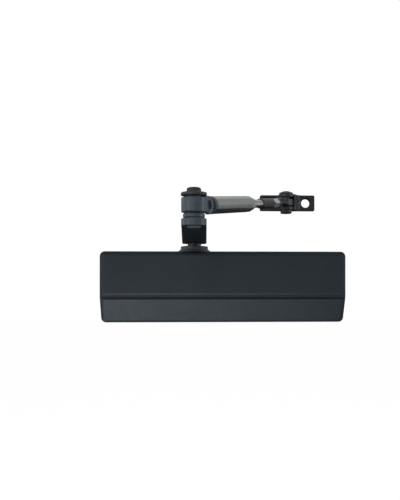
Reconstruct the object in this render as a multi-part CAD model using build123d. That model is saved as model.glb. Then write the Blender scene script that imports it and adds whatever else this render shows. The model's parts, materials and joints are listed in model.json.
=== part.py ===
from build123d import *
import math
import os

# A surface-mounted hydraulic door closer with a jointed adjustable arm.
# Millimetres.  +Z is up, -Y points away from the door, +X to the right.
# The origin is the centre of the housing's mounting face, which lies on the door.

# ------------------------------------------------------------------ cover
COVER_LENGTH = 265.2
COVER_HEIGHT = 77.0
COVER_DEPTH = 54.0
COVER_BACK_GAP = 0.6
COVER_WALL = 2.5
COVER_EDGE_RADIUS = 5.5
COVER_INNER_RADIUS = 3.2
COVER_NOTCH_GAP = 0.5
LOWER_FACE_TOP = -12.0
LOWER_FACE_SETBACK = 12.6
GROOVE_TOP = -10.0
GROOVE_HEIGHT = 3.2
GROOVE_DEPTH = 2.8
GROOVE_LIP_RADIUS = 4.0
RIB_DEPTH = 1.7
RIB_MARGIN = 4.0

# ------------------------------------------------------------------ housing and bore
BORE_Y = -27.0
BORE_RADIUS = 18.0
TUBE_RADIUS = 22.0
HOUSING_HALF_LENGTH = 104.0
FOOT_HALF_LENGTH = 121.0
FOOT_THICKNESS = 7.0
FOOT_HALF_HEIGHT = 26.0
FOOT_CORNER = 5.0
MOUNT_HOLE_X = 112.5
MOUNT_HOLE_Z = 18.0
MOUNT_HOLE_RADIUS = 3.3
PRESS_GAP = 0.02
RUN_GAP = 0.05
THREAD_GAP = 0.05

# ------------------------------------------------------------------ spindle axis
PINION_X = -31.5
UPPER_BOSS_RADIUS = 16.0
UPPER_BOSS_TOP = 34.0
LOWER_BOSS_RADIUS = 12.5
LOWER_BOSS_BOTTOM = -31.0
UPPER_SEAT_RADIUS = 11.0
LOWER_SEAT_RADIUS = 9.0
JOURNAL_RADIUS = 7.4
LOWER_JOURNAL_RADIUS = 6.0
BEARING_START = 18.2
BEARING_END = 26.0
SHAFT_SEAL_GAP = 0.3
SHAFT_SEAL_HEIGHT = 2.8
SHAFT_SEAL_WALL = 1.2
SHAFT_SEAL_LIP = 1.0
COLLAR_BOTTOM = 29.4
COLLAR_SPIGOT_RADIUS = 13.0
COLLAR_NECK_RADIUS = 14.7
COLLAR_FLARE_RADIUS = 17.35
COLLAR_RIM_RADIUS = 15.0
COLLAR_FLARE_LOW = 38.9
COLLAR_FLARE_HIGH = 39.9
COLLAR_RIM_LOW = 41.7
COLLAR_RIM_HIGH = 44.7
COLLAR_TOP = 45.4
COLLAR_BORE = 8.0
COLLAR_CROWN_RADIUS = 10.0
COLLAR_SLOT = (3.0, 3.6, 3.2)
COLLAR_SLOT_ANGLES = (45, 135, 225, 315)
LOWER_CAP_RADIUS = 10.0
LOWER_CAP_TOP = -27.5
LOWER_CAP_SOCKET_DEPTH = 2.0
LOWER_JOURNAL_END_GAP = 0.5

# ------------------------------------------------------------------ rack and pinion
MODULE = 1.5
TEETH = 12
PRESSURE_ANGLE = math.radians(25.0)
TOOTH_PLAY = 0.12
ROOT_DEPTH = 1.25 * MODULE
PITCH_RADIUS = MODULE * TEETH / 2
TOOTH_PITCH = math.pi * MODULE
GEAR_HALF_WIDTH = 10.0
INVOLUTE_STEPS = 6
PISTON_LEFT = -86.0
PISTON_RIGHT = -8.0
SLOT_LEFT = -72.5
SLOT_RIGHT = -18.8
SLOT_BACK_OFFSET = 11.3
RACK_HALF_WIDTH = 10.5
FIRST_RACK_TOOTH = -7.5
RACK_TEETH = 10
PISTON_SEAL_LEFT = -81.0
PISTON_SEAL_WIDTH = 3.0
PISTON_SEAL_DEPTH = 2.4
PISTON_SEAL_SIDE_GAP = 0.1
CHECK_VALVE_Z = 9.0
CHECK_BALL_RADIUS = 2.9
CHECK_BALL_X = -76.4
CHECK_POCKET_RADIUS = 3.2
CHECK_POCKET_LEFT = -79.4
CHECK_HOLE_RADIUS = 1.6
RETAINER_SETBACK = 0.1

# ------------------------------------------------------------------ end plugs, spring and power adjuster
PLUG_INNER_FACE = 92.0
PLUG_OUTER_FACE = 106.0
PLUG_GROOVE_X = 98.0
PLUG_GROOVE_WIDTH = 3.2
PLUG_GROOVE_RADIUS = 15.0
PLUG_SEAL_WIRE = 1.4
PLUG_SOCKET_FLATS = 12.0
PLUG_SOCKET_DEPTH = 6.0
SPANNER_HOLE_RADIUS = 1.5
SPANNER_HOLE_DEPTH = 3.0
SPANNER_HOLE_REACH = 12.0
ADJUST_SCREW_RADIUS = 5.0
ADJUST_SCREW_LEFT = 60.0
ADJUST_HEAD_RADIUS = 7.5
ADJUST_HEAD_RIGHT = 112.0
ADJUST_HEAD_LEFT = 106.4
ADJUST_SOCKET_FLATS = 6.0
ADJUST_SOCKET_DEPTH = 4.0
CIRCLIP_LEFT = 90.2
CIRCLIP_WIDTH = 1.2
CIRCLIP_RADIUS = 7.5
CIRCLIP_HALF_OPENING = 1.5
SEAT_LEFT = 82.0
SEAT_RIGHT = 88.0
SEAT_HUB_RADIUS = 9.0
SEAT_HUB_LEFT = 74.0
SPRING_RADIUS = 13.4
SPRING_WIRE = 2.2
SPRING_TURNS = 8.5
SPRING_END_GAP = 0.1

# ------------------------------------------------------------------ hydraulic valves
VALVE_Y = -12.0
VALVE_Z = 16.5
VALVE_BORE_RADIUS = 3.05
VALVE_RADIUS = 3.0
VALVE_BORE_DEPTH = 20.0
VALVE_HEAD_DEPTH = 0.5
VALVE_SHANK_DEPTH = 15.0
VALVE_TIP_DEPTH = 18.5
VALVE_TIP_RADIUS = 0.8
VALVE_SEAL_DEPTH = 5.0
VALVE_SEAL_WIDTH = 1.4
VALVE_SEAL_BOTTOM = 1.9
VALVE_SEAL_WIRE = 0.52
VALVE_SLOT_WIDTH = 1.0
VALVE_SLOT_DEPTH = 1.5
PORT_RADIUS = 1.0
PORT_DEPTHS = (12.0, 19.0)
VALVES = {"sweep_valve": (-1, 1), "latch_valve": (-1, -1), "backcheck_valve": (1, 1)}

# ------------------------------------------------------------------ cover clips
CLIP_THICKNESS = 1.0
CLIP_HALF_HEIGHT = 6.0
CLIP_PATH = ((106.8, -7.5), (119.0, -7.5), (123.0, -20.0), (128.8, -29.0), (125.6, -37.0))
CLIP_SCREW_X = 111.5
CLIP_SCREW_RADIUS = 2.0
CLIP_HEAD_RADIUS = 3.2
CLIP_HEAD_HEIGHT = 2.0
CLIP_HOLE_DEPTH = 5.0
CLIP_SHANK_LENGTH = 5.5
CLIP_SOCKET_FLATS = 2.5
CLIP_SOCKET_DEPTH = 1.2

# ------------------------------------------------------------------ main arm
ARM_LENGTH = 180.0
ARM_BOTTOM = 51.7
ARM_TOP = 58.2
ARM_BOSS_BOTTOM = 47.9
ARM_BOSS_RADIUS = 13.5
ARM_TIP_RADIUS = 10.5
ARM_EDGE = 0.9
SQUARE_DRIVE = 10.0
DRIVE_TOP = 57.2
ARM_SCREW_RADIUS = 3.0
ARM_SCREW_DEPTH = 14.0
ARM_SCREW_FLATS = 10.0
ARM_SCREW_END_GAP = 1.0
ARM_SCREW_HEAD = 4.2
ARM_SCREW_CROWN_DROP = 1.2
ARM_SCREW_CROWN_INSET = 0.3
ARM_WASHER_RADIUS = 8.5
ARM_WASHER_THICKNESS = 1.6
ARM_WASHER_GAP = 0.3

# ------------------------------------------------------------------ elbow
ELBOW_X = PINION_X
ELBOW_Y = BORE_Y - ARM_LENGTH
RIVET_HEAD_BOTTOM = 49.7
RIVET_HEAD_RADIUS = 6.0
RIVET_HEAD_TIP_RADIUS = 3.8
RIVET_SHANK_RADIUS = 5.0
PIN_FLANGE_RADIUS = 7.6
SPACER_BOTTOM = 58.9
SPACER_TOP = 61.9
SPACER_RADIUS = 9.05
SPACER_EDGE = 0.6
ELBOW_PIN_RADIUS = 6.0
ELBOW_PIN_TOP = 76.8
BARREL_BOTTOM = 63.1
BARREL_TOP = 75.3
BARREL_RADIUS = 10.5
BARREL_EDGE = 0.7
BUSHING_RADIUS = 7.5
BUSHING_FLANGE_RADIUS = 8.2
BUSHING_BOTTOM = 62.0
ELBOW_WASHER_RADIUS = 10.7
ELBOW_WASHER_TOP = 79.4
ELBOW_WASHER_EDGE = 0.5
ELBOW_WASHER_GAP = 0.2
ELBOW_SCREW_RADIUS = 2.5
ELBOW_SCREW_LOW = 64.5
ELBOW_HEAD_RADIUS = 6.0
ELBOW_HEAD_TOP = 83.6
ELBOW_HEAD_DOME = 1.9
ELBOW_SOCKET_FLATS = 4.0
ELBOW_SOCKET_DEPTH = 2.2

# ------------------------------------------------------------------ knuckle fork and cross pin
FOREARM_AZIMUTH = math.radians(30.1)
KNUCKLE_Z = 70.45
SPOT_FACE_RADIUS = 11.1
CROSS_PIN_REACH = 15.0
EAR_RADIUS = 7.8
FORK_HALF_WIDTH = 6.6
TONGUE_HALF_WIDTH = 2.9
TONGUE_GAP = 0.2
TONGUE_EYE_RADIUS = 5.7
SLOT_START = 9.0
CROSS_PIN_RADIUS = 3.7
CROSS_PIN_HALF_LENGTH = 5.1

# ------------------------------------------------------------------ forearm, measured from the cross pin
SHOE_REACH = 202.9
SHOE_Z = 93.5
COLLAR_START = 9.4
COLLAR_EDGE = 0.8
TUBE_START = 13.5
TUBE_END = 86.0
FOREARM_RADIUS = 7.75
TUBE_WALL = 2.0
TUBE_CHAMFER = 0.9
SPIGOT_END = 26.0
INSERT_START = 71.5
NUT_START = 86.3
NUT_THICKNESS = 6.8
NUT_FLATS = 13.0
NUT_CROWN_INSET = 0.1
NUT_CROWN_RUN = 1.6
ROD_RADIUS = 4.0
ROD_START = 50.0
ROD_CHAMFER = 0.6
ROD_TIP_GAP = 1.0
ROD_END_START = 117.5
ROD_SOCKET_DEPTH = 14.0
SHANK_RADIUS = 5.15
SHANK_FULL_END = 168.0
EYE_RADIUS = 7.9
EYE_THICKNESS = 7.0
NECK_WIDTH = 11.4
EYE_BUSH_RADIUS = 5.2

# ------------------------------------------------------------------ frame shoe
SHOE_PIN_RADIUS = 4.0
SHOE_RISE = 0.7  # how far the shoe's middle is above the middle of the eye
SHOE_HEIGHT = 17.8
SHOE_LENGTH = 61.8
SHOE_PLATE_THICKNESS = 4.5
SHOE_PLATE_FRONT = 9.0
SHOE_PIN_OFFSET = 2.8
SHOE_CORNER = 1.6
SHOE_HOLE_SPACING = 41.5
SHOE_HOLE_RADIUS = 4.8
SHOE_SINK_RADIUS = 6.8
SHOE_SINK_DEPTH = 2.0
EAR_THICKNESS = 3.6
SHOE_EAR_RADIUS = 7.6
GUSSET_NEAR = 9.2
GUSSET_FAR = 17.0
GUSSET_TIP_Y = -1.0
GUSSET_HEEL_Y = 5.0
GUSSET_EAR_Y = 7.0
PIN_DOME_RADIUS = 7.75
PIN_DOME_HEIGHT = 3.3
PIN_DOME_RIM = 0.9
PIN_FOOT_RADIUS = 6.2
PIN_FOOT_HEIGHT = 3.9
PIN_FOOT_EDGE = 0.9

STAND_ON_BASE = (Align.CENTER, Align.CENTER, Align.MIN)
MARGIN = 1.0
EDGE_TOLERANCE = 0.01

# Level direction from the elbow to the shoe, and the raised direction of the forearm.
LEVEL_DIRECTION = Vector(math.sin(FOREARM_AZIMUTH), math.cos(FOREARM_AZIMUTH), 0)
CROSS_PIN_CENTRE = Vector(ELBOW_X, ELBOW_Y, KNUCKLE_Z) + LEVEL_DIRECTION * CROSS_PIN_REACH
SHOE_PIN_CENTRE = Vector(ELBOW_X, ELBOW_Y, SHOE_Z) + LEVEL_DIRECTION * SHOE_REACH
FOREARM_DIRECTION = (SHOE_PIN_CENTRE - CROSS_PIN_CENTRE).normalized()
FOREARM_LENGTH = (SHOE_PIN_CENTRE - CROSS_PIN_CENTRE).length
CROSS_PIN_DIRECTION = Vector(-math.cos(FOREARM_AZIMUTH), math.sin(FOREARM_AZIMUTH), 0)

# Working planes: the knuckle is drawn level, the forearm along its own axis, the shoe about its pin.
KNUCKLE_PLANE = Plane(
    origin=(ELBOW_X, ELBOW_Y, KNUCKLE_Z), x_dir=LEVEL_DIRECTION, z_dir=(0, 0, 1)
)
FOREARM_PLANE = Plane(
    origin=CROSS_PIN_CENTRE, x_dir=CROSS_PIN_DIRECTION, z_dir=FOREARM_DIRECTION
)
SHOE_CENTRE = SHOE_PIN_CENTRE + Vector(0, 0, SHOE_RISE)
SHOE_PLANE = Plane(origin=SHOE_CENTRE, x_dir=(1, 0, 0), z_dir=(0, 0, 1))
EYE_PLANE = Plane(origin=SHOE_PIN_CENTRE, x_dir=LEVEL_DIRECTION, z_dir=(0, 0, 1))


# ------------------------------------------------------------------ shape helpers
def bar(start, direction, radius, length):
    """A round bar from a point along a direction."""
    return Plane(origin=start, z_dir=direction) * Cylinder(radius, length, align=STAND_ON_BASE)


def upright(x, y, radius, low, high):
    """A round bar that stands along Z."""
    return bar((x, y, low), (0, 0, 1), radius, high - low)


def on_spindle(radius, low, high):
    """A round bar on the spindle's axis."""
    return upright(PINION_X, BORE_Y, radius, low, high)


def on_elbow(radius, low, high):
    """A round bar on the elbow's axis."""
    return upright(ELBOW_X, ELBOW_Y, radius, low, high)


def in_bore(radius, left, right):
    """A round bar on the axis of the piston bore."""
    return bar((left, BORE_Y, 0), (1, 0, 0), radius, right - left)


def on_forearm(radius, start, end):
    """A round bar on the forearm's axis, measured from the cross pin."""
    begin = CROSS_PIN_CENTRE + FOREARM_DIRECTION * start
    return bar(begin, FOREARM_DIRECTION, radius, end - start)


def on_shoe_pin(radius, low, high):
    """A round bar on the shoe pin's axis, measured from the middle of the eye."""
    return upright(SHOE_PIN_CENTRE.X, SHOE_PIN_CENTRE.Y, radius, SHOE_Z + low, SHOE_Z + high)


def block(x_range, y_range, z_range):
    """A box between two corners."""
    middle = [(low + high) / 2 for low, high in (x_range, y_range, z_range)]
    sides = [high - low for low, high in (x_range, y_range, z_range)]
    return Pos(*middle) * Box(*sides)


def cone(x, y, low_radius, high_radius, low, high):
    """A round frustum that stands along Z."""
    return Pos(x, y, low) * Cone(low_radius, high_radius, high - low, align=STAND_ON_BASE)


def hexagon_bar(start, direction, flats, length):
    """A hexagonal bar of a size across flats."""
    section = RegularPolygon(flats / 2, 6, major_radius=False)
    return extrude(Plane(origin=start, z_dir=direction) * section, amount=length)


def edges_at_height(shape, height):
    """The edges that lie level at one height."""
    low = height - EDGE_TOLERANCE
    high = height + EDGE_TOLERANCE
    return shape.edges().filter_by_position(Axis.Z, low, high)


# ------------------------------------------------------------------ cover
def cover_profile(inset):
    """The cover's side outline, inset by the wall thickness for the hollow inside."""
    front = -COVER_DEPTH + inset
    top = COVER_HEIGHT / 2 - inset
    lean = math.atan2(LOWER_FACE_SETBACK, LOWER_FACE_TOP + COVER_HEIGHT / 2)
    knee_z = LOWER_FACE_TOP + inset * math.tan(lean / 2)
    bottom = -COVER_HEIGHT / 2 + inset
    foot_y = front + (knee_z - bottom) * math.tan(lean)
    back = -COVER_BACK_GAP + (MARGIN if inset else 0)
    outline = Polyline(
        (back, top), (front, top), (front, knee_z), (foot_y, bottom), (back, bottom), close=True
    )
    return Plane.YZ * make_face(outline)


def rounded_prism(inset, radius):
    """The cover's outline drawn out along X, with every edge rounded except at the back."""
    solid = extrude(cover_profile(inset), amount=COVER_LENGTH / 2 - inset, both=True)
    back_edges = solid.edges().group_by(Axis.Y)[-1]
    loose_edges = [edge for edge in solid.edges() if edge not in back_edges]
    return fillet(loose_edges, radius)


def groove_cutter():
    """The long groove under the upper face, with the upper face's lower edge rolled in."""
    lip_centre_y = -COVER_DEPTH + GROOVE_LIP_RADIUS
    lip_centre_z = GROOVE_TOP + GROOVE_LIP_RADIUS
    floor_y = -COVER_DEPTH + GROOVE_DEPTH
    lip_end_angle = math.acos((lip_centre_y - floor_y) / GROOVE_LIP_RADIUS)
    mid_angle = lip_end_angle / 2
    lip_start = (-COVER_DEPTH, lip_centre_z)
    lip_middle = (
        lip_centre_y - GROOVE_LIP_RADIUS * math.cos(mid_angle),
        lip_centre_z - GROOVE_LIP_RADIUS * math.sin(mid_angle),
    )
    lip_end = (floor_y, lip_centre_z - GROOVE_LIP_RADIUS * math.sin(lip_end_angle))
    groove_bottom = GROOVE_TOP - GROOVE_HEIGHT
    outside_y = -COVER_DEPTH - MARGIN
    lip = ThreePointArc(lip_start, lip_middle, lip_end)
    rest = Polyline(
        lip_end,
        (floor_y, groove_bottom),
        (outside_y, groove_bottom),
        (outside_y, lip_centre_z),
        lip_start,
    )
    return extrude(Plane.YZ * make_face(lip + rest), amount=COVER_LENGTH, both=True)


def make_cover():
    outside = rounded_prism(0, COVER_EDGE_RADIUS)
    inside = rounded_prism(COVER_WALL, COVER_INNER_RADIUS)
    half_rib = COVER_LENGTH / 2
    floor_y = -COVER_DEPTH + COVER_WALL
    groove_rib = block(
        (-half_rib, half_rib),
        (floor_y - MARGIN, floor_y + RIB_DEPTH),
        (GROOVE_TOP - GROOVE_HEIGHT - RIB_MARGIN, GROOVE_TOP + RIB_MARGIN),
    )
    shell = outside - (inside - groove_rib) - groove_cutter()
    top = COVER_HEIGHT / 2
    notch_radius = COLLAR_NECK_RADIUS + COVER_NOTCH_GAP
    notch = on_spindle(notch_radius, top - COVER_WALL - MARGIN, top + MARGIN)
    notch += block(
        (PINION_X - notch_radius, PINION_X + notch_radius),
        (BORE_Y, MARGIN),
        (top - COVER_WALL - MARGIN, top + MARGIN),
    )
    return shell - notch


# ------------------------------------------------------------------ housing
def make_housing():
    body = in_bore(TUBE_RADIUS, -HOUSING_HALF_LENGTH, HOUSING_HALF_LENGTH)
    body += block(
        (-HOUSING_HALF_LENGTH, HOUSING_HALF_LENGTH), (BORE_Y, 0), (-TUBE_RADIUS, TUBE_RADIUS)
    )
    foot = block(
        (-FOOT_HALF_LENGTH, FOOT_HALF_LENGTH),
        (-FOOT_THICKNESS, 0),
        (-FOOT_HALF_HEIGHT, FOOT_HALF_HEIGHT),
    )
    body += fillet(foot.edges().filter_by(Axis.Y), FOOT_CORNER)
    body += on_spindle(UPPER_BOSS_RADIUS, 0, UPPER_BOSS_TOP)
    body += on_spindle(LOWER_BOSS_RADIUS, LOWER_BOSS_BOTTOM, 0)
    body -= in_bore(BORE_RADIUS, -HOUSING_HALF_LENGTH - MARGIN, HOUSING_HALF_LENGTH + MARGIN)
    body -= on_spindle(UPPER_SEAT_RADIUS, 0, UPPER_BOSS_TOP)
    body -= on_spindle(COLLAR_SPIGOT_RADIUS, COLLAR_BOTTOM, UPPER_BOSS_TOP)
    body -= on_spindle(LOWER_SEAT_RADIUS, LOWER_BOSS_BOTTOM, 0)
    body -= on_spindle(LOWER_CAP_RADIUS, LOWER_BOSS_BOTTOM, LOWER_CAP_TOP)
    for side in (-1, 1):
        for level in (-1, 1):
            start = (side * MOUNT_HOLE_X, MARGIN, level * MOUNT_HOLE_Z)
            body -= bar(start, (0, -1, 0), MOUNT_HOLE_RADIUS, FOOT_THICKNESS + 2 * MARGIN)
        clip_hole = (side * CLIP_SCREW_X, -FOOT_THICKNESS + CLIP_HOLE_DEPTH, 0)
        body -= bar(clip_hole, (0, -1, 0), CLIP_SCREW_RADIUS, CLIP_HOLE_DEPTH + MARGIN)
    for side, level in VALVES.values():
        mouth = (side * (HOUSING_HALF_LENGTH + MARGIN), VALVE_Y, level * VALVE_Z)
        body -= bar(mouth, (-side, 0, 0), VALVE_BORE_RADIUS, VALVE_BORE_DEPTH + MARGIN)
        for depth in PORT_DEPTHS:
            port_start = (side * (HOUSING_HALF_LENGTH - depth), VALVE_Y, level * VALVE_Z)
            towards_bore = (0, BORE_Y - VALVE_Y, -level * VALVE_Z)
            body -= bar(port_start, towards_bore, PORT_RADIUS, BORE_RADIUS / 2)
    return body


def make_end_plug(side):
    """A screwed plug that closes one end of the bore; the right one carries the power adjuster."""
    inner, outer = sorted((side * PLUG_INNER_FACE, side * PLUG_OUTER_FACE))
    plug = in_bore(BORE_RADIUS - THREAD_GAP, inner, outer)
    groove_left = side * PLUG_GROOVE_X - PLUG_GROOVE_WIDTH / 2
    groove_right = groove_left + PLUG_GROOVE_WIDTH
    groove = in_bore(BORE_RADIUS, groove_left, groove_right)
    groove -= in_bore(PLUG_GROOVE_RADIUS, groove_left, groove_right)
    plug -= groove
    if side > 0:
        plug -= in_bore(ADJUST_SCREW_RADIUS + RUN_GAP, inner, outer)
        for reach in (-SPANNER_HOLE_REACH, SPANNER_HOLE_REACH):
            hole_start = (outer - SPANNER_HOLE_DEPTH, BORE_Y + reach, 0)
            plug -= bar(hole_start, (1, 0, 0), SPANNER_HOLE_RADIUS, SPANNER_HOLE_DEPTH)
    else:
        mouth = (inner - MARGIN, BORE_Y, 0)
        plug -= hexagon_bar(mouth, (1, 0, 0), PLUG_SOCKET_FLATS, PLUG_SOCKET_DEPTH + MARGIN)
    return plug


def make_plug_seal(side):
    centre = Plane(origin=(side * PLUG_GROOVE_X, BORE_Y, 0), z_dir=(1, 0, 0))
    return centre * Torus(PLUG_GROOVE_RADIUS + PLUG_SEAL_WIRE + RUN_GAP, PLUG_SEAL_WIRE)


def make_upper_bearing():
    sleeve = on_spindle(UPPER_SEAT_RADIUS - PRESS_GAP, BEARING_START, BEARING_END)
    return sleeve - on_spindle(JOURNAL_RADIUS + RUN_GAP, BEARING_START, BEARING_END)


def make_lower_bearing():
    sleeve = on_spindle(LOWER_SEAT_RADIUS - PRESS_GAP, -BEARING_END, -BEARING_START)
    return sleeve - on_spindle(LOWER_JOURNAL_RADIUS + RUN_GAP, -BEARING_END, -BEARING_START)


def make_shaft_seal():
    low = BEARING_END + SHAFT_SEAL_GAP
    high = low + SHAFT_SEAL_HEIGHT
    seal = on_spindle(UPPER_SEAT_RADIUS - PRESS_GAP, low, high)
    seal -= on_spindle(JOURNAL_RADIUS + RUN_GAP, low, high)
    gap_low = low + SHAFT_SEAL_WALL
    lip_gap = on_spindle(UPPER_SEAT_RADIUS - SHAFT_SEAL_WALL, gap_low, high)
    return seal - (lip_gap - on_spindle(JOURNAL_RADIUS + SHAFT_SEAL_LIP, gap_low, high))


def make_spindle_collar():
    """The gland nut round the spindle, whose flare hides the notch in the cover."""
    collar = on_spindle(COLLAR_SPIGOT_RADIUS - THREAD_GAP, COLLAR_BOTTOM, UPPER_BOSS_TOP)
    collar += on_spindle(COLLAR_NECK_RADIUS, UPPER_BOSS_TOP, COLLAR_FLARE_LOW)
    collar += on_spindle(COLLAR_FLARE_RADIUS, COLLAR_FLARE_LOW, COLLAR_FLARE_HIGH)
    collar += cone(
        PINION_X, BORE_Y, COLLAR_FLARE_RADIUS, COLLAR_RIM_RADIUS, COLLAR_FLARE_HIGH, COLLAR_RIM_LOW
    )
    collar += on_spindle(COLLAR_RIM_RADIUS, COLLAR_RIM_LOW, COLLAR_RIM_HIGH)
    collar += cone(
        PINION_X, BORE_Y, COLLAR_RIM_RADIUS, COLLAR_CROWN_RADIUS, COLLAR_RIM_HIGH, COLLAR_TOP
    )
    for angle in COLLAR_SLOT_ANGLES:
        slot = Pos(COLLAR_RIM_RADIUS, 0, COLLAR_TOP) * Box(*COLLAR_SLOT)
        collar -= Pos(PINION_X, BORE_Y, 0) * Rot(0, 0, angle) * slot
    return collar - on_spindle(COLLAR_BORE, COLLAR_BOTTOM, COLLAR_TOP)


def make_lower_cap():
    cap = on_spindle(LOWER_CAP_RADIUS - THREAD_GAP, LOWER_BOSS_BOTTOM, LOWER_CAP_TOP)
    socket_start = (PINION_X, BORE_Y, LOWER_BOSS_BOTTOM - MARGIN)
    socket_length = LOWER_CAP_SOCKET_DEPTH + MARGIN
    return cap - hexagon_bar(socket_start, (0, 0, 1), ADJUST_SOCKET_FLATS, socket_length)


def make_cover_clip(side):
    """A bent spring-steel clip on the housing's foot that grips the cover's end wall."""
    path = Polyline(*[(side * x, y) for x, y in CLIP_PATH])
    strip = trace(path, line_width=CLIP_THICKNESS)
    clip = extrude(strip, amount=CLIP_HALF_HEIGHT, both=True)
    hole_start = (side * CLIP_SCREW_X, 0, 0)
    return clip - bar(hole_start, (0, -1, 0), CLIP_SCREW_RADIUS + RUN_GAP, BORE_RADIUS)


def make_clip_screw(side):
    x = side * CLIP_SCREW_X
    head_base = -FOOT_THICKNESS - CLIP_THICKNESS
    shank_tip = (x, head_base + CLIP_SHANK_LENGTH, 0)
    screw = bar(shank_tip, (0, -1, 0), CLIP_SCREW_RADIUS - THREAD_GAP, CLIP_SHANK_LENGTH)
    screw += bar((x, head_base, 0), (0, -1, 0), CLIP_HEAD_RADIUS, CLIP_HEAD_HEIGHT)
    socket_start = (x, head_base - CLIP_HEAD_HEIGHT - MARGIN, 0)
    socket_length = CLIP_SOCKET_DEPTH + MARGIN
    return screw - hexagon_bar(socket_start, (0, 1, 0), CLIP_SOCKET_FLATS, socket_length)


# ------------------------------------------------------------------ pinion and piston
def involute(angle):
    return math.tan(angle) - angle


def tooth_half_angle(radius):
    """Half of the angle that a pinion tooth fills at a radius."""
    base_radius = PITCH_RADIUS * math.cos(PRESSURE_ANGLE)
    at_pitch = math.pi / (2 * TEETH) - TOOTH_PLAY / PITCH_RADIUS
    local_pressure = math.acos(min(1.0, base_radius / radius))
    return at_pitch + involute(PRESSURE_ANGLE) - involute(local_pressure)


def gear_outline():
    """The pinion's outline: involute flanks, radial below the base circle."""
    base_radius = PITCH_RADIUS * math.cos(PRESSURE_ANGLE)
    root_radius = PITCH_RADIUS - ROOT_DEPTH
    tip_radius = PITCH_RADIUS + MODULE
    radii = [
        base_radius + (tip_radius - base_radius) * step / INVOLUTE_STEPS
        for step in range(INVOLUTE_STEPS + 1)
    ]
    flank = [(root_radius, tooth_half_angle(base_radius))]
    flank += [(radius, tooth_half_angle(radius)) for radius in radii]
    points = []
    for tooth in range(TEETH):
        centre = 2 * math.pi * tooth / TEETH
        rising = [(radius, centre - half) for radius, half in flank]
        falling = [(radius, centre + half) for radius, half in reversed(flank)]
        for radius, angle in rising + falling:
            points.append((radius * math.cos(angle), radius * math.sin(angle)))
    return make_face(Polyline(*points, close=True))


def make_pinion_shaft():
    gear_plane = Plane(origin=(PINION_X, BORE_Y, -GEAR_HALF_WIDTH))
    shaft = extrude(gear_plane * gear_outline(), amount=2 * GEAR_HALF_WIDTH)
    shaft += on_spindle(JOURNAL_RADIUS, GEAR_HALF_WIDTH, ARM_BOSS_BOTTOM)
    lower_end = LOWER_CAP_TOP + LOWER_JOURNAL_END_GAP
    shaft += on_spindle(LOWER_JOURNAL_RADIUS, lower_end, -GEAR_HALF_WIDTH)
    half_square = SQUARE_DRIVE / 2
    shaft += block(
        (PINION_X - half_square, PINION_X + half_square),
        (BORE_Y - half_square, BORE_Y + half_square),
        (ARM_BOSS_BOTTOM, DRIVE_TOP),
    )
    screw_hole = on_spindle(ARM_SCREW_RADIUS, DRIVE_TOP - ARM_SCREW_DEPTH, DRIVE_TOP)
    return shaft - screw_hole


def slot_outline():
    """The window through the piston, with rack teeth along its front side."""
    pitch_y = BORE_Y - PITCH_RADIUS
    root_y = pitch_y - ROOT_DEPTH
    tip_y = pitch_y + MODULE
    half_at_pitch = TOOTH_PITCH / 4 - TOOTH_PLAY
    half_at_tip = half_at_pitch - MODULE * math.tan(PRESSURE_ANGLE)
    half_at_root = half_at_pitch + ROOT_DEPTH * math.tan(PRESSURE_ANGLE)
    points = [(SLOT_LEFT, root_y)]
    for tooth in range(RACK_TEETH):
        centre = PINION_X + (FIRST_RACK_TOOTH + tooth) * TOOTH_PITCH
        points.append((centre - half_at_root, root_y))
        points.append((centre - half_at_tip, tip_y))
        points.append((centre + half_at_tip, tip_y))
        points.append((centre + half_at_root, root_y))
    back_y = BORE_Y + SLOT_BACK_OFFSET
    points += [(SLOT_RIGHT, root_y), (SLOT_RIGHT, back_y), (SLOT_LEFT, back_y)]
    return make_face(Polyline(*points, close=True))


def make_rack_piston():
    piston = in_bore(BORE_RADIUS - RUN_GAP, PISTON_LEFT, PISTON_RIGHT)
    piston -= extrude(slot_outline(), amount=BORE_RADIUS + MARGIN, both=True)
    root_y = BORE_Y - PITCH_RADIUS - ROOT_DEPTH
    for level in (-1, 1):
        above_rack = sorted((level * RACK_HALF_WIDTH, level * (BORE_RADIUS + MARGIN)))
        piston -= block((SLOT_LEFT, SLOT_RIGHT), (root_y, BORE_Y), above_rack)
    seal_right = PISTON_SEAL_LEFT + PISTON_SEAL_WIDTH
    groove = in_bore(BORE_RADIUS, PISTON_SEAL_LEFT, seal_right)
    groove -= in_bore(BORE_RADIUS - PISTON_SEAL_DEPTH, PISTON_SEAL_LEFT, seal_right)
    piston -= groove
    hole_start = (PISTON_LEFT - MARGIN, BORE_Y, CHECK_VALVE_Z)
    piston -= bar(hole_start, (1, 0, 0), CHECK_HOLE_RADIUS, SLOT_LEFT - PISTON_LEFT + 2 * MARGIN)
    pocket_start = (CHECK_POCKET_LEFT, BORE_Y, CHECK_VALVE_Z)
    pocket_length = SLOT_LEFT - CHECK_POCKET_LEFT + MARGIN
    return piston - bar(pocket_start, (1, 0, 0), CHECK_POCKET_RADIUS, pocket_length)


def make_piston_seal():
    left = PISTON_SEAL_LEFT + PISTON_SEAL_SIDE_GAP
    right = PISTON_SEAL_LEFT + PISTON_SEAL_WIDTH - PISTON_SEAL_SIDE_GAP
    ring = in_bore(BORE_RADIUS - RUN_GAP, left, right)
    return ring - in_bore(BORE_RADIUS - PISTON_SEAL_DEPTH + RUN_GAP, left, right)


def make_check_ball():
    return Pos(CHECK_BALL_X, BORE_Y, CHECK_VALVE_Z) * Sphere(CHECK_BALL_RADIUS)


def make_ball_retainer():
    right = SLOT_LEFT - RETAINER_SETBACK
    left = CHECK_BALL_X + CHECK_BALL_RADIUS + RUN_GAP
    start = (left, BORE_Y, CHECK_VALVE_Z)
    ring = bar(start, (1, 0, 0), CHECK_POCKET_RADIUS - PRESS_GAP, right - left)
    return ring - bar(start, (1, 0, 0), CHECK_HOLE_RADIUS, right - left)


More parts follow.
